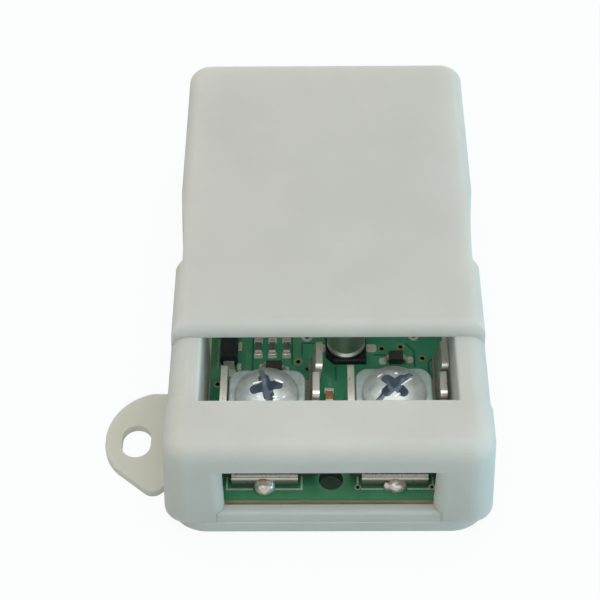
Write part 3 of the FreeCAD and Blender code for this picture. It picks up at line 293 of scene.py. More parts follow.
def tinned_sheet_finish():
    """Rolled tinned sheet, bright, with a painted brown reflection in patches on upright faces, and painted
    shade on the front flange and the floor; the flange's foot also carries a painted green reflection of the
    board.
    """
    f = cloudy("tinned_sheet", lin(204, 199, 188), lin(240, 236, 228), 1.6, 0.3, 0.66, grain=(0.3, 0.003),
               stretch=(1.0, 0.25, 1.0))
    upright = f.span(f.math("ABSOLUTE", f.part("Z", f.normal)), 0.5, 0.2)
    # Painted reflection: brown patches on upright faces stand in for the brown surroundings they mirror.
    brown_painted_reflection = f.span(f.noise(1.3, 3.0, 0.6, None, 12.0), 0.45, 0.62, 0.0, 0.55)
    tin = f.mix(f.math("MULTIPLY", upright, brown_painted_reflection), f.base(), lin(168, 142, 116))
    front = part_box("left_terminal_bracket")[0].y
    y, z = f.part("Y"), f.part("Z")
    # Painted shade from the cover's front bar, under BRACKET_FLOOR: the front flange, whose foot is dark
    # green-grey as a painted reflection of the board, and the floor, darkest near the front.
    flange_painted_shade = f.mix(f.span(z, (BRACKET_FLOOR - 1.4) * MM, (BRACKET_FLOOR - 0.5) * MM),
                   lin(98, 110, 94), lin(170, 167, 157))
    floor = f.mix(f.span(y, front + 1.0 * MM, front + 3.0 * MM), lin(92, 88, 84), lin(158, 153, 146))
    inward = f.span(y, front + 0.1 * MM, front + 0.7 * MM)
    f.colour(f.mix(f.math("LESS_THAN", z, BRACKET_FLOOR * MM), tin, f.mix(inward, flange_painted_shade, floor)))
    return f.material


def copper_coil_finish():
    """Enamelled copper wire, with the winding's turns as relief."""
    f = cloudy("enamelled_wire", lin(120, 58, 30), lin(176, 96, 52), 1.0, 0.3, 0.9)
    f.bump(f.wave(0.16, "Z"), 0.05)
    return f.material


cover_plastic = housing_finish("cover_plastic", (209, 209, 202))
tray_plastic = housing_finish("tray_plastic", (204, 207, 202), tray=True)
board_mask = board_finish()
tin_sheet = tinned_sheet_finish()
zinc = two_tone("zinc_plate", (164, 182, 180), (196, 211, 209), 1.1, 0.34, 0.4, grain=(0.35, 0.012))
bright_screw = screw_finish("bright_screw", (154, 162, 159), (194, 201, 198), 0.42)
# Painted shade: the screws' recesses take a darker, bluer copy of the screw steel.
recess_steel_painted_shade = screw_finish("recess_steel_painted_shade", (84, 98, 110), (120, 134, 146), 0.4)
# Painted glint: a near-white finish for the screws' worn edges and burrs.
wear_and_glint_edge = two_tone("wear_and_glint_edge", (232, 236, 236), (250, 252, 252), 0.4, 0.25, 0.25)
solder_bright = two_tone("solder_bright", (176, 170, 160), (220, 214, 204), 1.0, 0.26, 0.6,
                         grain=(0.4, 0.004))
pad_tin = two_tone("pad_tin", (216, 214, 202), (250, 248, 238), 0.7, 0.36, 0.1, grain=(0.2, 0.01))
via_tan = two_tone("via_ring", (152, 146, 112), (194, 188, 152), 0.4, 0.4, 0.2, grain=(0.2, 0.01))
via_painted_shade = two_tone("via_barrel", (26, 24, 20), (54, 48, 38), 0.3, 0.6, 0.2)
copper_bare = two_tone("bare_copper", (120, 84, 62), (190, 148, 116), 0.35, 0.4, 0.5, grain=(0.2, 0.01))
lead_tin = two_tone("lead_tin", (192, 186, 168), (234, 228, 210), 0.5, 0.34, 0.4)
aluminium = two_tone("aluminium_can", (168, 172, 164), (206, 208, 198), 1.5, 0.42, 0.85, grain=(0.3, 0.004),
                     stretch=(1.0, 1.0, 0.2))
plinth_black = black_body("plinth_black", (28, 32, 34))
surge_black = black_body("surge_diode_black", (36, 42, 48), cathode_band("surge_diode"))
fly_black = black_body("flyback_diode_black", (36, 42, 48), cathode_band("flyback_diode"))
chip_black = black_body("chip_black", (44, 46, 46))
small_black = black_body("small_black", (62, 64, 60))
resistor_body = two_tone("resistor_glaze", (70, 70, 68), (142, 142, 134), 0.35, 0.35, grain=(0.15, 0.01))
ceramic_body = two_tone("ceramic_tan", (150, 106, 66), (190, 144, 98), 0.5, 0.45, grain=(0.12, 0.01))
relay_shell = two_tone("relay_shell", (22, 60, 128), (34, 78, 150), 3.0, 0.32, grain=(0.25, 0.008))
relay_plastic = two_tone("relay_plastic", (206, 202, 186), (226, 222, 208), 2.0, 0.45)
soft_iron = two_tone("plated_iron", (150, 148, 140), (190, 188, 180), 1.2, 0.35, 0.95)
contact_silver = two_tone("contact_silver", (196, 190, 176), (228, 222, 210), 0.5, 0.28, 1.0)
crystal_can = two_tone("crystal_can", (176, 176, 170), (212, 212, 206), 2.0, 0.22, 1.0,
                       stretch=(0.2, 1.0, 1.0))
coil_wire = copper_coil_finish()
trace_green = two_tone("masked_copper", (84, 166, 122), (100, 182, 136), 1.2, 0.3, grain=(0.3, 0.004))
gap_green = two_tone("masked_gap", (34, 104, 76), (44, 118, 86), 1.2, 0.34, grain=(0.3, 0.004))
ink_white = two_tone("ink_white", (150, 176, 156), (196, 210, 196), 0.3, 0.6, grain=(0.1, 0.01))

CAD_FINISHES = {
    "top_cover": cover_plastic, "base_tray": tray_plastic, "circuit_board": board_mask,
    "left_terminal_bracket": tin_sheet, "right_terminal_bracket": tin_sheet,
    "left_clamp_plate": zinc, "right_clamp_plate": zinc,
    "capacitor_base": plinth_black, "capacitor_can": aluminium,
    "surge_diode": surge_black, "surge_diode_leads": lead_tin,
    "flyback_diode": fly_black, "flyback_diode_leads": lead_tin,
    "chip_resistors": resistor_body, "ceramic_capacitors": ceramic_body, "chip_end_caps": pad_tin,
    "transistor": small_black, "signal_diode": small_black, "small_part_leads": lead_tin,
    "controller_chip": chip_black, "controller_leads": lead_tin, "crystal": crystal_can,
    "relay_base": relay_plastic, "relay_cover": relay_shell, "relay_pins": lead_tin,
    "relay_yoke": soft_iron, "relay_bobbin": relay_plastic, "relay_coil": coil_wire,
    "relay_armature": soft_iron, "relay_fixed_contacts": contact_silver,
}
for node_name, material in CAD_FINISHES.items():
    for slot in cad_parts[node_name].material_slots:
        slot.material = material


# Tools for the mesh pieces
def loose(name, mesh, materials):
    """Turns a bmesh into an object, with its units as they are."""
    bmesh.ops.recalc_face_normals(mesh, faces=mesh.faces)
    data = bpy.data.meshes.new(name)
    mesh.to_mesh(data)
    mesh.free()
    for material in materials:
        data.materials.append(material)
    made = bpy.data.objects.new(name, data)
    bpy.context.scene.collection.objects.link(made)
    return made


def piece(name, mesh, body, materials, smooth=None):
    """Turns a bmesh in millimetres into an object that rides on a body.

    With smooth given, edges sharper than this many degrees stay sharp and the rest are smooth.
    """
    for vert in mesh.verts:
        vert.co *= MM
    made = loose(name, mesh, materials)
    if smooth is not None:
        made.data.shade_smooth()
        made.data.set_sharp_from_angle(angle=math.radians(smooth))
    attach(made, body)
    return made


def slab(mesh, outline, z0, z1, inset=0.0):
    """A closed slab over an outline of (x, y) points; the top can be smaller than the foot."""
    cx = sum(p[0] for p in outline) / len(outline)
    cy = sum(p[1] for p in outline) / len(outline)
    low = [mesh.verts.new((x, y, z0)) for x, y in outline]
    high = []
    for x, y in outline:
        reach = math.hypot(x - cx, y - cy)
        share = max(0.0, 1 - inset / reach) if reach else 1.0
        high.append(mesh.verts.new((cx + (x - cx) * share, cy + (y - cy) * share, z1)))
    n = len(outline)
    for i in range(n):
        mesh.faces.new((low[i], low[(i + 1) % n], high[(i + 1) % n], high[i]))
    mesh.faces.new(high)
    mesh.faces.new(low[::-1])


def ring_points(x, y, radius, count=28):
    """Points on a circle round (x, y)."""
    return [(x + radius * math.cos(2 * math.pi * i / count), y + radius * math.sin(2 * math.pi * i / count))
            for i in range(count)]


def ring(mesh, x, y, outer, inner, z0, z1, count=28):
    """A closed ring of rectangular section between two radii and two heights."""
    loops = []
    for radius, z in ((outer, z0), (outer, z1), (inner, z1), (inner, z0)):
        loops.append([mesh.verts.new((px, py, z)) for px, py in ring_points(x, y, radius, count)])
    for a in range(4):
        b = (a + 1) % 4
        for i in range(count):
            j = (i + 1) % count
            mesh.faces.new((loops[a][i], loops[a][j], loops[b][j], loops[b][i]))


def ribbon(mesh, points, width, z0, z1):
    """A flat strip along a line of (x, y) points, with mitred corners."""
    half = width / 2
    sides = []
    for i, (x, y) in enumerate(points):
        before = Vector(points[max(i - 1, 0)])
        after = Vector(points[min(i + 1, len(points) - 1)])
        here = Vector((x, y))
        first = (here - before).normalized() if i else (after - here).normalized()
        second = (after - here).normalized() if i < len(points) - 1 else first
        along = (first + second).normalized()
        across = Vector((-along.y, along.x))
        reach = half / max(across.dot(Vector((-first.y, first.x))), 0.5)
        end = {0: -half, len(points) - 1: half}.get(i, 0.0)
        centre = here + along * end
        left, right = centre + across * reach, centre - across * reach
        sides.append([mesh.verts.new((*left, z0)), mesh.verts.new((*left, z1)),
                      mesh.verts.new((*right, z1)), mesh.verts.new((*right, z0))])
    for a, b in zip(sides, sides[1:]):
        for i in range(4):
            j = (i + 1) % 4
            mesh.faces.new((a[i], a[j], b[j], b[i]))
    mesh.faces.new(sides[0])
    mesh.faces.new(sides[-1][::-1])


def rounded_rectangle(x, y, width, length, corner, steps=4):
    """Points round a rectangle centred on (x, y), whose corners have this radius."""
    points = []
    for cx, cy, start in ((1, 1, 0), (-1, 1, 90), (-1, -1, 180), (1, -1, 270)):
        for i in range(steps + 1):
            angle = math.radians(start + 90 * i / steps)
            points.append((x + cx * (width / 2 - corner) + corner * math.cos(angle),
                           y + cy * (length / 2 - corner) + corner * math.sin(angle)))
    return points


# Board: copper under the mask, gaps in it, plated holes, pads and white ink
SUNK = BOARD_TOP - 0.01     # the foot of what lies on the board, a little under its face
TRACE_TOP = BOARD_TOP + 0.02
GAP_TOP = BOARD_TOP + 0.012
PAD_TOP = BOARD_TOP + 0.05
INK_FOOT, INK_TOP, INK_WIDTH = BOARD_TOP + 0.015, BOARD_TOP + 0.04, 0.24
PART_RING = 0.65            # rings wider than this belong to a part's lead and are tinned


def strips(name, lines, foot, top, material):
    """One piece of flat strips; lines holds the width and the points, X and place, of each."""
    mesh = bmesh.new()
    for width, points in lines:
        ribbon(mesh, [(x, at(d)) for x, d in points], width, foot, top)
    piece(name, mesh, "housing", [material])


strips("board_traces", [
    (1.45, [(-14.65, 3.2), (-14.65, 15.5)]), (1.3, [(-14.6, 21.0), (-14.6, 60.6)]),
    (0.7, [(-10.35, 20.5), (-10.35, 24.2), (-10.9, 24.9), (-10.9, 30.0)]),
    (0.7, [(-4.05, 28.5), (-4.05, 24.3), (-3.75, 23.6)]),
    (0.5, [(-12.6, 27.4), (-10.2, 27.4), (-8.9, 28.8), (-8.9, 31.0)]),
    (0.5, [(-7.15, 26.6), (-7.15, 29.0), (-5.4, 30.6)]), (0.5, [(-5.3, 26.6), (-5.3, 28.3), (-2.7, 28.3)]),
    (0.6, [(8.4, 28.4), (8.4, 33.0)]), (0.6, [(9.65, 28.2), (9.65, 32.0)]),
    (0.9, [(13.6, 28.6), (13.6, 33.5)]),
    (0.5, [(0.3, 19.2), (0.3, 20.0), (-0.9, 21.4), (-0.9, 23.6)]), (0.5, [(0.3, 15.2), (0.3, 9.0)]),
    (1.2, [(14.2, 3.0), (14.2, 17.0)]), (0.6, [(-7.8, 3.4), (-7.8, 4.4)]),
], SUNK, TRACE_TOP, trace_green)

strips("board_gaps", [
    (0.22, [(-13.85, 18.9), (-13.85, 27.5)]),
    (0.22, [(-9.75, 21.2), (-9.75, 27.6), (-4.6, 27.6), (-4.6, 22.6)]),
    (0.2, [(-3.3, 24.2), (-3.3, 26.0), (-1.6, 26.0)]), (0.25, [(1.1, 20.0), (1.1, 22.0)]),
    (0.22, [(6.2, 24.0), (8.2, 24.0), (8.2, 22.4)]), (0.22, [(11.4, 22.2), (11.4, 24.6), (10.4, 25.8)]),
    (0.22, [(13.2, 18.0), (13.2, 22.8), (14.4, 24.0)]), (0.22, [(-13.3, 2.8), (-13.3, 6.5)]),
], SUNK, GAP_TOP, gap_green)

# Plated holes: X, place, the ring's radius and the hole's
vias = [
    (7.15, 25.0, 0.44, 0.25), (9.65, 25.3, 0.56, 0.25), (12.45, 23.4, 0.5, 0.25), (-3.8, 22.9, 0.58, 0.25),
    (-2.55, 21.7, 0.38, 0.25), (-14.2, 19.3, 0.5, 0.25), (-2.65, 27.0, 0.72, 0.25),
    (11.45, 27.1, 0.7, 0.25), (3.57, 3.55, 0.38, 0.2), (12.63, 3.55, 0.38, 0.2),
]
mesh = bmesh.new()
for x, d, outer, hole in vias:
    ring(mesh, x, at(d), outer, hole + 0.05, SUNK, PAD_TOP)
rings = piece("board_via_rings", mesh, "housing", [via_tan, pad_tin])
for face in rings.data.polygons:
    x, d = face.center.x / MM, face.center.y / MM - FRONT
    face.material_index = int(any(outer > PART_RING and math.hypot(x - vx, d - vd) < outer
                                  for vx, vd, outer, hole in vias))
# Painted shade: the barrels, a rim round each hole and a disc across it a little under the board's face are
# near black, for the shade inside the holes.
mesh = bmesh.new()
for x, d, outer, hole in vias:
    ring(mesh, x, at(d), hole - 0.005, hole - 0.045, BOARD_FOOT + 0.01, SUNK)
    ring(mesh, x, at(d), hole + 0.06, hole - 0.045, BOARD_TOP - 0.005, PAD_TOP - 0.01)
    slab(mesh, ring_points(x, at(d), hole - 0.03), BOARD_TOP - 0.6, BOARD_TOP - 0.45, 0.02)
piece("board_via_barrels", mesh, "housing", [via_painted_shade])

# Pads: X, place, width and length
mesh = bmesh.new()
pads = [(-11.5, 25.5, 0.55, 1.5), (-11.5, 22.1, 0.55, 1.2), (-12.8, 27.6, 1.7, 1.3), (-12.8, 21.2, 1.7, 1.3),
        (-5.4, 21.7, 0.9, 0.9), (-8.45, 21.15, 0.85, 0.7), (-8.45, 22.25, 0.85, 0.7),
        (-7.0, 24.15, 0.6, 0.8), (7.25, 23.0, 1.0, 1.1), (10.75, 23.2, 1.0, 1.1), (5.75, 25.15, 1.5, 1.35),
        (-0.85, 25.15, 1.5, 1.35)]
for x, d, w, h in pads:
    slab(mesh, rounded_rectangle(x, at(d), w, h, min(w, h) * 0.3), SUNK, PAD_TOP, 0.06)

# Chip parts that stand on two pads: X, place, width and height
chips = [(-9.05 + 1.85 * i, 25.2, 0.85, 0.45) for i in range(3)] + [(0.2, 17.0, 0.95, 0.75)]
chips += [(-13.0 + 2.2 * i, 31.5, 0.95, 0.75) for i in range(4)]
for x, d, w, h in chips:
    for sign in (-1, 1):
        slab(mesh, rounded_rectangle(x, at(d) + sign * 1.2, w + 0.3, 0.95, 0.12), SUNK, PAD_TOP, 0.05)
piece("board_pads", mesh, "housing", [pad_tin])

ink = [[(-12.45, 8.6), (-12.45, 3.3), (-9.35, 3.3)], [(-6.4, 3.3), (-3.3, 3.3), (-3.3, 8.6)],
       [(3.59, 8.6), (3.59, 3.95)], [(4.1, 3.3), (6.6, 3.3)], [(9.75, 3.3), (12.2, 3.3)],
       [(12.76, 3.95), (12.76, 8.6)], [(-14.3, 22.0), (-14.3, 26.5)]]
strips("board_ink", [(INK_WIDTH, line) for line in ink], INK_FOOT, INK_TOP, ink_white)

# Solder: uneven shiny lumps in place of the plain domes
LUMP_FOOT = 0.35            # how far under its middle a lump is cut off, as a share of its radius


def lump(mesh, x, y, rx, ry, height, seed, lean=(0.0, 0.0)):
    """A lump that stands on the board, with a gently uneven skin, and leans over by this much at its top."""
    made = bmesh.ops.create_icosphere(mesh, subdivisions=4, radius=1.0)["verts"]
    for vert in made:
        p = vert.co.copy()
        swell = 1 + 0.09 * noise.noise(p * 1.6 + Vector((seed, 0, 0)))
        rise = (max(p.z, -LUMP_FOOT) + LUMP_FOOT) / (1 + LUMP_FOOT)
        vert.co = Vector((x + p.x * rx * swell + lean[0] * rise ** 2,
                          y + p.y * ry * swell + lean[1] * rise ** 2,
                          BOARD_TOP - 0.02 + rise * (height * swell)))


def rear_joint(side):
    """X and Y of the joint at a bracket's rear lead, which lies inside the bracket's far corner."""
    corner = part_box(side + "_terminal_bracket")[1]
    return corner.x / MM - 1.02, corner.y / MM - 0.6


mesh = bmesh.new()
lump(mesh, -7.85, at(3.55), 1.3, 1.17, 1.5, 1.0)
lump(mesh, 8.3, at(3.72), 1.24, 1.05, 1.36, 4.0)
lump(mesh, 7.25, at(3.4), 0.55, 0.4, 1.1, 6.0, (-0.2, 0.1))
for side, seed in (("left", 2.0), ("right", 3.0)):
    x, y = rear_joint(side)
    lump(mesh, x, y, 0.85, 0.95, 0.78, seed)
solder = piece("solder_joints", mesh, "housing", [solder_bright], 60)
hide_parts("terminal_solder")


def wedge(mesh, x, y, width, height, run, sign):
    """A solder fillet that climbs a chip's end from its pad."""
    profile = [(0.0, height), (0.12 * run, 0.6 * height), (0.35 * run, 0.25 * height),
               (run, 0.02), (run, -0.01), (0.0, -0.01)]
    left = [mesh.verts.new((x - width / 2, y + sign * out, BOARD_TOP + up)) for out, up in profile]
    right = [mesh.verts.new((x + width / 2, y + sign * out, BOARD_TOP + up)) for out, up in profile]
    n = len(profile)
    for i in range(n):
        mesh.faces.new((left[i], left[(i + 1) % n], right[(i + 1) % n], right[i]))
    mesh.faces.new(left)
    mesh.faces.new(right[::-1])


mesh = bmesh.new()
for x, d, w, h in chips:
    for sign in (-1, 1):
        wedge(mesh, x, at(d) + sign * 1.0, w * 0.92, h * 0.75, 0.6, sign)
piece("chip_fillets", mesh, "housing", [solder_bright], 40)

# Screws: a pan head with its recess cut in, over a threaded shank
HEAD_HEIGHT = 2.3
SHANK_RADIUS = 2.0
THREAD_PITCH = 0.7
THREAD_DEPTH = 0.36
THREAD_END = 0.5            # the length over which the thread runs out at either end
SLOT_LENGTH = 7.0           # the blade slot and the cross that make up the recess
CROSS_LENGTH, CROSS_WIDTH, CROSS_DEPTH = 4.7, 1.5, 1.5
WEAR_AND_GLINT_WIDTH = 0.07            # how wide the worn edges are, which carry a painted glint
# The second finish gives the recess a painted shade, and the third gives the worn edges and burrs a painted
# glint.
SCREW_MATERIALS = [bright_screw, recess_steel_painted_shade, wear_and_glint_edge]
RECESS_SLOT, WEAR_AND_GLINT_SLOT = 1, 2


def lathe(profile, count):
    """A closed turned shape from (radius, height) points that start and end on the axis."""
    mesh = bmesh.new()
    loops = []
    for radius, z in profile:
        if radius == 0:
            loops.append([mesh.verts.new((0, 0, z))])
        else:
            loops.append([mesh.verts.new((x, y, z)) for x, y in ring_points(0, 0, radius, count)])
    for a, b in zip(loops, loops[1:]):
        for i in range(count):
            j = (i + 1) % count
            corners = [a[i % len(a)], a[j % len(a)], b[j % len(b)], b[i % len(b)]]
            mesh.faces.new([v for k, v in enumerate(corners) if v not in corners[:k]])
    return mesh


def threaded_shank(top, bottom):
    """A closed rod with a helical ridge that runs out at both ends."""
    mesh = bmesh.new()
    around, rows = 36, int((top - bottom) / THREAD_PITCH * 12)
    loops = []
    for k in range(rows + 1):
        z = top + (bottom - top) * k / rows
        fade = min(1.0, (top - z) / THREAD_END, (z - bottom) / THREAD_END + 0.25)
        loop = []
        for i in range(around):
            turn = 2 * math.pi * i / around
            phase = (z / THREAD_PITCH - turn / (2 * math.pi)) % 1.0
            groove = max(0.0, abs(phase - 0.5) * 2.6 - 0.35)
            radius = SHANK_RADIUS - THREAD_DEPTH * min(groove, 1.0) * max(fade, 0.0)
            if z - bottom < THREAD_END:
                radius = min(radius, SHANK_RADIUS - THREAD_END + (z - bottom))
            loop.append(mesh.verts.new((radius * math.cos(turn), radius * math.sin(turn), z)))
        loops.append(loop)
    for a, b in zip(loops, loops[1:]):
        for i in range(around):
            j = (i + 1) % around
            mesh.faces.new((a[i], a[j], b[j], b[i]))
    mesh.faces.new(loops[0])
    mesh.faces.new(loops[-1][::-1])
    return mesh


def recess_tool(top, turn):
    """What the recess takes away: a slot across the head and a deeper, round-ended, tapered cross."""
    mesh = bmesh.new()
    blade = bmesh.ops.create_cube(mesh, size=1.0)["verts"]
    for vert in blade:
        width = 0.76 if vert.co.z > 0 else 0.66
        vert.co = Vector((vert.co.x * SLOT_LENGTH, vert.co.y * width, top + 0.2 + vert.co.z * 2.0))
    for length, width in ((CROSS_LENGTH, CROSS_WIDTH), (CROSS_WIDTH, CROSS_LENGTH)):
        outline = rounded_rectangle(0, 0, length, width, 0.7, 6)
        rows = []
        for z, share in ((top - CROSS_DEPTH, 0.42), (top - 0.7, 0.8), (top + 0.4, 1.0)):
            rows.append([mesh.verts.new((px * share, py * share, z)) for px, py in outline])
        for low, high in zip(rows, rows[1:]):
            for i in range(len(outline)):
                j = (i + 1) % len(outline)
                mesh.faces.new((low[i], low[j], high[j], high[i]))
        mesh.faces.new(rows[0][::-1])
        mesh.faces.new(rows[-1])
    bmesh.ops.rotate(mesh, verts=mesh.verts, matrix=Matrix.Rotation(math.radians(turn), 3, "Z"))
    return mesh


def cut_away(target, tool):
    """Cuts a tool, whose own parts may overlap, out of an object and removes the tool."""
    modifier = target.modifiers.new("cut", "BOOLEAN")
    modifier.operation = "DIFFERENCE"
    modifier.solver = "EXACT"
    modifier.use_self = True
    modifier.object = tool
    bpy.context.view_layer.update()
    cut = bpy.data.meshes.new_from_object(target.evaluated_get(bpy.context.evaluated_depsgraph_get()))
    target.modifiers.clear()
    target.data = cut
    bpy.data.objects.remove(tool)


def add_burrs_with_painted_glints(mesh, x, y, top, radius, height, burrs):
    """Slivers that a screwdriver has raised on the head, near white as painted glints: place, length, width
    and turn.
    """
    for across, along, length, width, turn in burrs:
        drop = height * 0.5 * (math.hypot(across, along) / (radius * 0.9)) ** 2.6
        made = bmesh.ops.create_icosphere(mesh, subdivisions=3, radius=1.0)["verts"]
        rise = 0.06 + 0.16 * width
        spin = Matrix.Rotation(math.radians(turn), 3, "Z")
        for vert in made:
            p = vert.co.copy()
            uneven = 1 + 0.25 * noise.noise(p * 1.7 + Vector((across, along, 0)))
            flat = spin @ Vector((p.x * length / 2 * uneven, p.y * width / 2 * uneven, 0))
            vert.co = Vector((x + across + flat.x, y + along + flat.y, top - drop - 0.02 + p.z * rise))
        for face in {face for vert in made for face in vert.link_faces}:
            face.material_index = WEAR_AND_GLINT_SLOT


def make_screw(side, turn, burrs):
    """A terminal screw in place of its CAD node, its recess turned by this many degrees."""
    node = side + "_terminal_screw"
    low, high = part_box(node)
    x, y = (low.x + high.x) / 2 / MM, (low.y + high.y) / 2 / MM
    top, bottom = high.z / MM, low.z / MM
    radius, height = (high.x - low.x) / 2 / MM, HEAD_HEIGHT
    seat = top - height
    profile = [(0, top)]
    for k in range(1, 13):
        share = k / 12
        profile.append((radius * 0.9 * share, top - height * 0.5 * share ** 2.6))
    profile += [(radius * 0.955, seat + height * 0.445), (radius * 0.988, seat + height * 0.385),
                (radius, seat + height * 0.31), (radius, seat + 0.16), (radius * 0.96, seat), (0, seat)]
    head = loose("head", lathe(profile, 72), SCREW_MATERIALS[:2])
    tool_mesh = recess_tool(top, turn)
    for face in tool_mesh.faces:
        face.material_index = RECESS_SLOT
    cut_away(head, loose("tool", tool_mesh, SCREW_MATERIALS[:2]))
    mesh = bmesh.new()
    mesh.from_mesh(head.data)
    shank = threaded_shank(seat + 0.02, bottom)
    carried = bpy.data.meshes.new("shank")
    shank.to_mesh(carried)
    shank.free()
    mesh.from_mesh(carried)
    bpy.data.objects.remove(head)
    bmesh.ops.translate(mesh, verts=mesh.verts, vec=(x, y, 0))
    add_burrs_with_painted_glints(mesh, x, y, top, radius, height, burrs)
    made = piece(side + "_screw_threaded", mesh, side + "_screw", SCREW_MATERIALS, 32)
    # The bevelled edges take the near-white finish as a painted glint.
    soften = made.modifiers.new("edges", "BEVEL")
    soften.width = WEAR_AND_GLINT_WIDTH * MM
    soften.segments = 2
    soften.material = WEAR_AND_GLINT_SLOT
    soften.limit_method = "ANGLE"
    soften.angle_limit = math.radians(40)
    soften.harden_normals = True
    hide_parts(node)


make_screw("left", 104.0, [
    (-1.15, 0.66, 1.15, 0.24, 16), (1.5, 0.98, 1.5, 0.4, -24), (-1.0, -1.4, 0.6, 0.26, 8),
    (1.15, -1.45, 0.8, 0.3, -6), (2.2, -1.3, 0.55, 0.24, 12),
])
make_screw("right", 44.0, [
    (1.5, 0.55, 1.9, 0.26, 38), (0.25, -1.5, 1.0, 0.34, 44), (0.21, 1.9, 0.5, 0.36, 10),
    (-1.75, 1.72, 0.9, 0.22, 36), (-1.8, -0.85, 0.6, 0.2, 48),
])

# Bare ends of the front leads, bent over into their joints
LEAD_THICKNESS = 0.1


def lead_tip(name, x, y, z, reach, rise, width):
    """A short strip that bows over from one side of a joint to the other."""
    mesh = bmesh.new()
    rows = []
    for k in range(13):
        share = k / 12
        bow = math.sin(math.pi * share)
        rows.append([mesh.verts.new((x - reach + 2 * reach * share, y + side * width * (0.4 + 0.6 * bow) / 2,
                                     z + rise * bow - abs(side) * 0.04)) for side in (-1, 0, 1)])
    for a, b in zip(rows, rows[1:]):
        for i in range(2):
            mesh.faces.new((a[i], a[i + 1], b[i + 1], b[i]))
    made = piece(name, mesh, "housing", [copper_bare], 60)
    thick = made.modifiers.new("thick", "SOLIDIFY")
    thick.thickness = LEAD_THICKNESS * MM


lead_tip("left_lead_tip", -7.95, at(3.62), BOARD_TOP + 1.5, 0.55, 0.14, 0.34)
lead_tip("right_lead_tip", 8.1, at(3.8), BOARD_TOP + 1.4, 0.5, 0.12, 0.34)

# The round mark beside the controller's first pin
mesh = bmesh.new()
low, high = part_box("controller_chip")
ring(mesh, low.x / MM + 0.85, high.y / MM - 0.95, 0.34, 0.26, high.z / MM - 0.01, high.z / MM + 0.015, 24)
piece("controller_mark", mesh, "housing", [chip_black], 30)

# Stage: a floor that looks white to the camera and in reflections and keeps the part's shadow
FLOOR_DROP = 0.05
FLOOR_GLOW = 0.93

floor_mesh = bmesh.new()
bmesh.ops.create_grid(floor_mesh, x_segments=2, y_segments=2, size=2.0)
floor = loose("floor", floor_mesh, [])
floor.location = (0, 0, -FLOOR_DROP * MM)
f = Finish("floor_white", 0.0, 0.9, 0.1)
f.colour(f.ramp(f.noise(40.0, 2.0), [(0.3, lin(188, 204, 207)), (0.7, lin(194, 210, 213))]))
path = f.add("LightPath")
seen = f.math("MAXIMUM", path.outputs["Is Camera Ray"],
              f.math("MAXIMUM", path.outputs["Is Glossy Ray"], path.outputs["Is Transmission Ray"]))
glow = f.add("Emission", {"Color": (1, 1, 1, 1), "Strength": 1.0})
f.surface(glow, f.math("MULTIPLY", seen, FLOOR_GLOW))
floor.data.materials.append(f.material)

# The room lights the part softly and looks white
world = bpy.data.worlds.new("studio")
bpy.context.scene.world = world
world.use_nodes = True
nodes, links = world.node_tree.nodes, world.node_tree.links
room = nodes["Background"]
room.inputs["Color"].default_value = (1.0, 0.985, 0.955, 1)
room.inputs["Strength"].default_value = 0.43
clean = nodes.new("ShaderNodeBackground")
clean.inputs["Color"].default_value = (1, 1, 1, 1)
clean.inputs["Strength"].default_value = 1.0
path = nodes.new("ShaderNodeLightPath")
bright = nodes.new("ShaderNodeMath")
bright.operation = "MAXIMUM"
links.new(path.outputs["Is Camera Ray"], bright.inputs[0])
links.new(path.outputs["Is Glossy Ray"], bright.inputs[1])
pick = nodes.new("ShaderNodeMixShader")
links.new(bright.outputs[0], pick.inputs[0])
links.new(room.outputs[0], pick.inputs[1])
links.new(clean.outputs[0], pick.inputs[2])
links.new(pick.outputs[0], nodes["World Output"].inputs["Surface"])


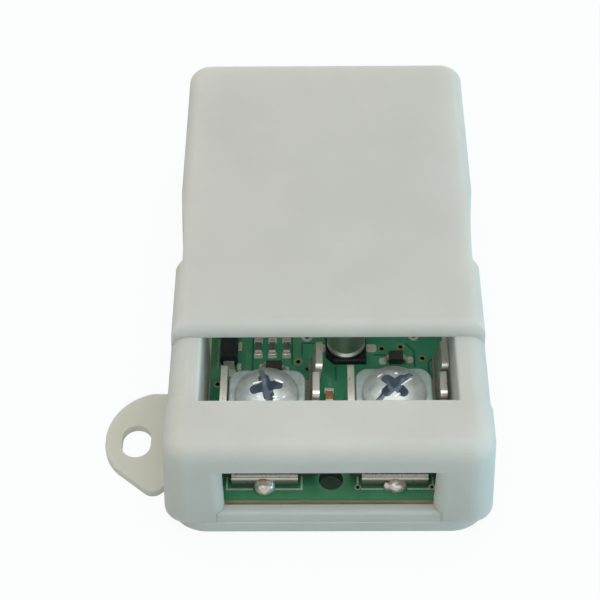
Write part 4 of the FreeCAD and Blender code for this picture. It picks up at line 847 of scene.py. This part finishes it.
def lamp(name, place, target, size, power, colour):
    """A rectangular area lamp; places and sizes are in metres and the power is in watts."""
    data = bpy.data.lights.new(name, "AREA")
    data.shape = "RECTANGLE"
    data.size, data.size_y = size
    data.energy = power
    data.color = colour
    made = bpy.data.objects.new(name, data)
    bpy.context.scene.collection.objects.link(made)
    made.location = place
    made.rotation_mode = "QUATERNION"
    made.rotation_quaternion = (Vector(target) - Vector(place)).to_track_quat("-Z", "Y")


lamp("front_above", (0.0, -0.42, 0.6), (0, 0, 0.005), (0.8, 0.6), 1.3, (0.985, 0.98, 1.0))
lamp("overhead", (0.0, 0.05, 0.75), (0, 0, 0), (0.7, 0.7), 3.85, (0.99, 0.98, 1.0))
lamp("window_right", (0.63, -0.14, 0.1), (0, 0, 0.01), (0.5, 0.12), 3.0, (0.36, 0.76, 1.0))
lamp("warm_left", (-0.6, -0.05, 0.2), (0, 0, 0.01), (0.5, 0.3), 0.06, (1.0, 0.85, 0.55))
lamp("back_fill", (0.05, 0.62, 0.14), (0, 0, 0.01), (0.6, 0.16), 0.7, (1.0, 0.985, 0.96))

# The camera stands where the photograph's did, worked out from the housing's edges.
CAMERA_PLACE = (-1.6, -127.1, 157.7)
CAMERA_ANGLES = (-0.90, 50.15, -0.91)       # yaw, pitch and roll, in degrees
FOCAL_PIXELS = 1470.0
PICTURE_PIXELS = 600.0
SENSOR_WIDTH = 36.0

yaw, pitch, roll = [math.radians(angle) for angle in CAMERA_ANGLES]
forward = Vector((math.sin(yaw) * math.cos(pitch), math.cos(yaw) * math.cos(pitch), -math.sin(pitch)))
right = forward.cross(Vector((0, 0, 1))).normalized()
up = right.cross(forward)
right_rolled = right * math.cos(roll) + up * math.sin(roll)
up_rolled = up * math.cos(roll) - right * math.sin(roll)
camera_data = bpy.data.cameras.new("camera")
camera_data.sensor_width = SENSOR_WIDTH
camera_data.lens = FOCAL_PIXELS * SENSOR_WIDTH / PICTURE_PIXELS
camera_data.clip_start = 0.01
camera_data.clip_end = 20.0
camera = bpy.data.objects.new("camera", camera_data)
bpy.context.scene.collection.objects.link(camera)
camera.rotation_mode = "QUATERNION"
camera.rotation_quaternion = Matrix((right_rolled, up_rolled, -forward)).transposed().to_quaternion()
camera.location = Vector(CAMERA_PLACE) * MM
bpy.context.scene.camera = camera
bpy.context.scene.view_settings.view_transform = "Standard"
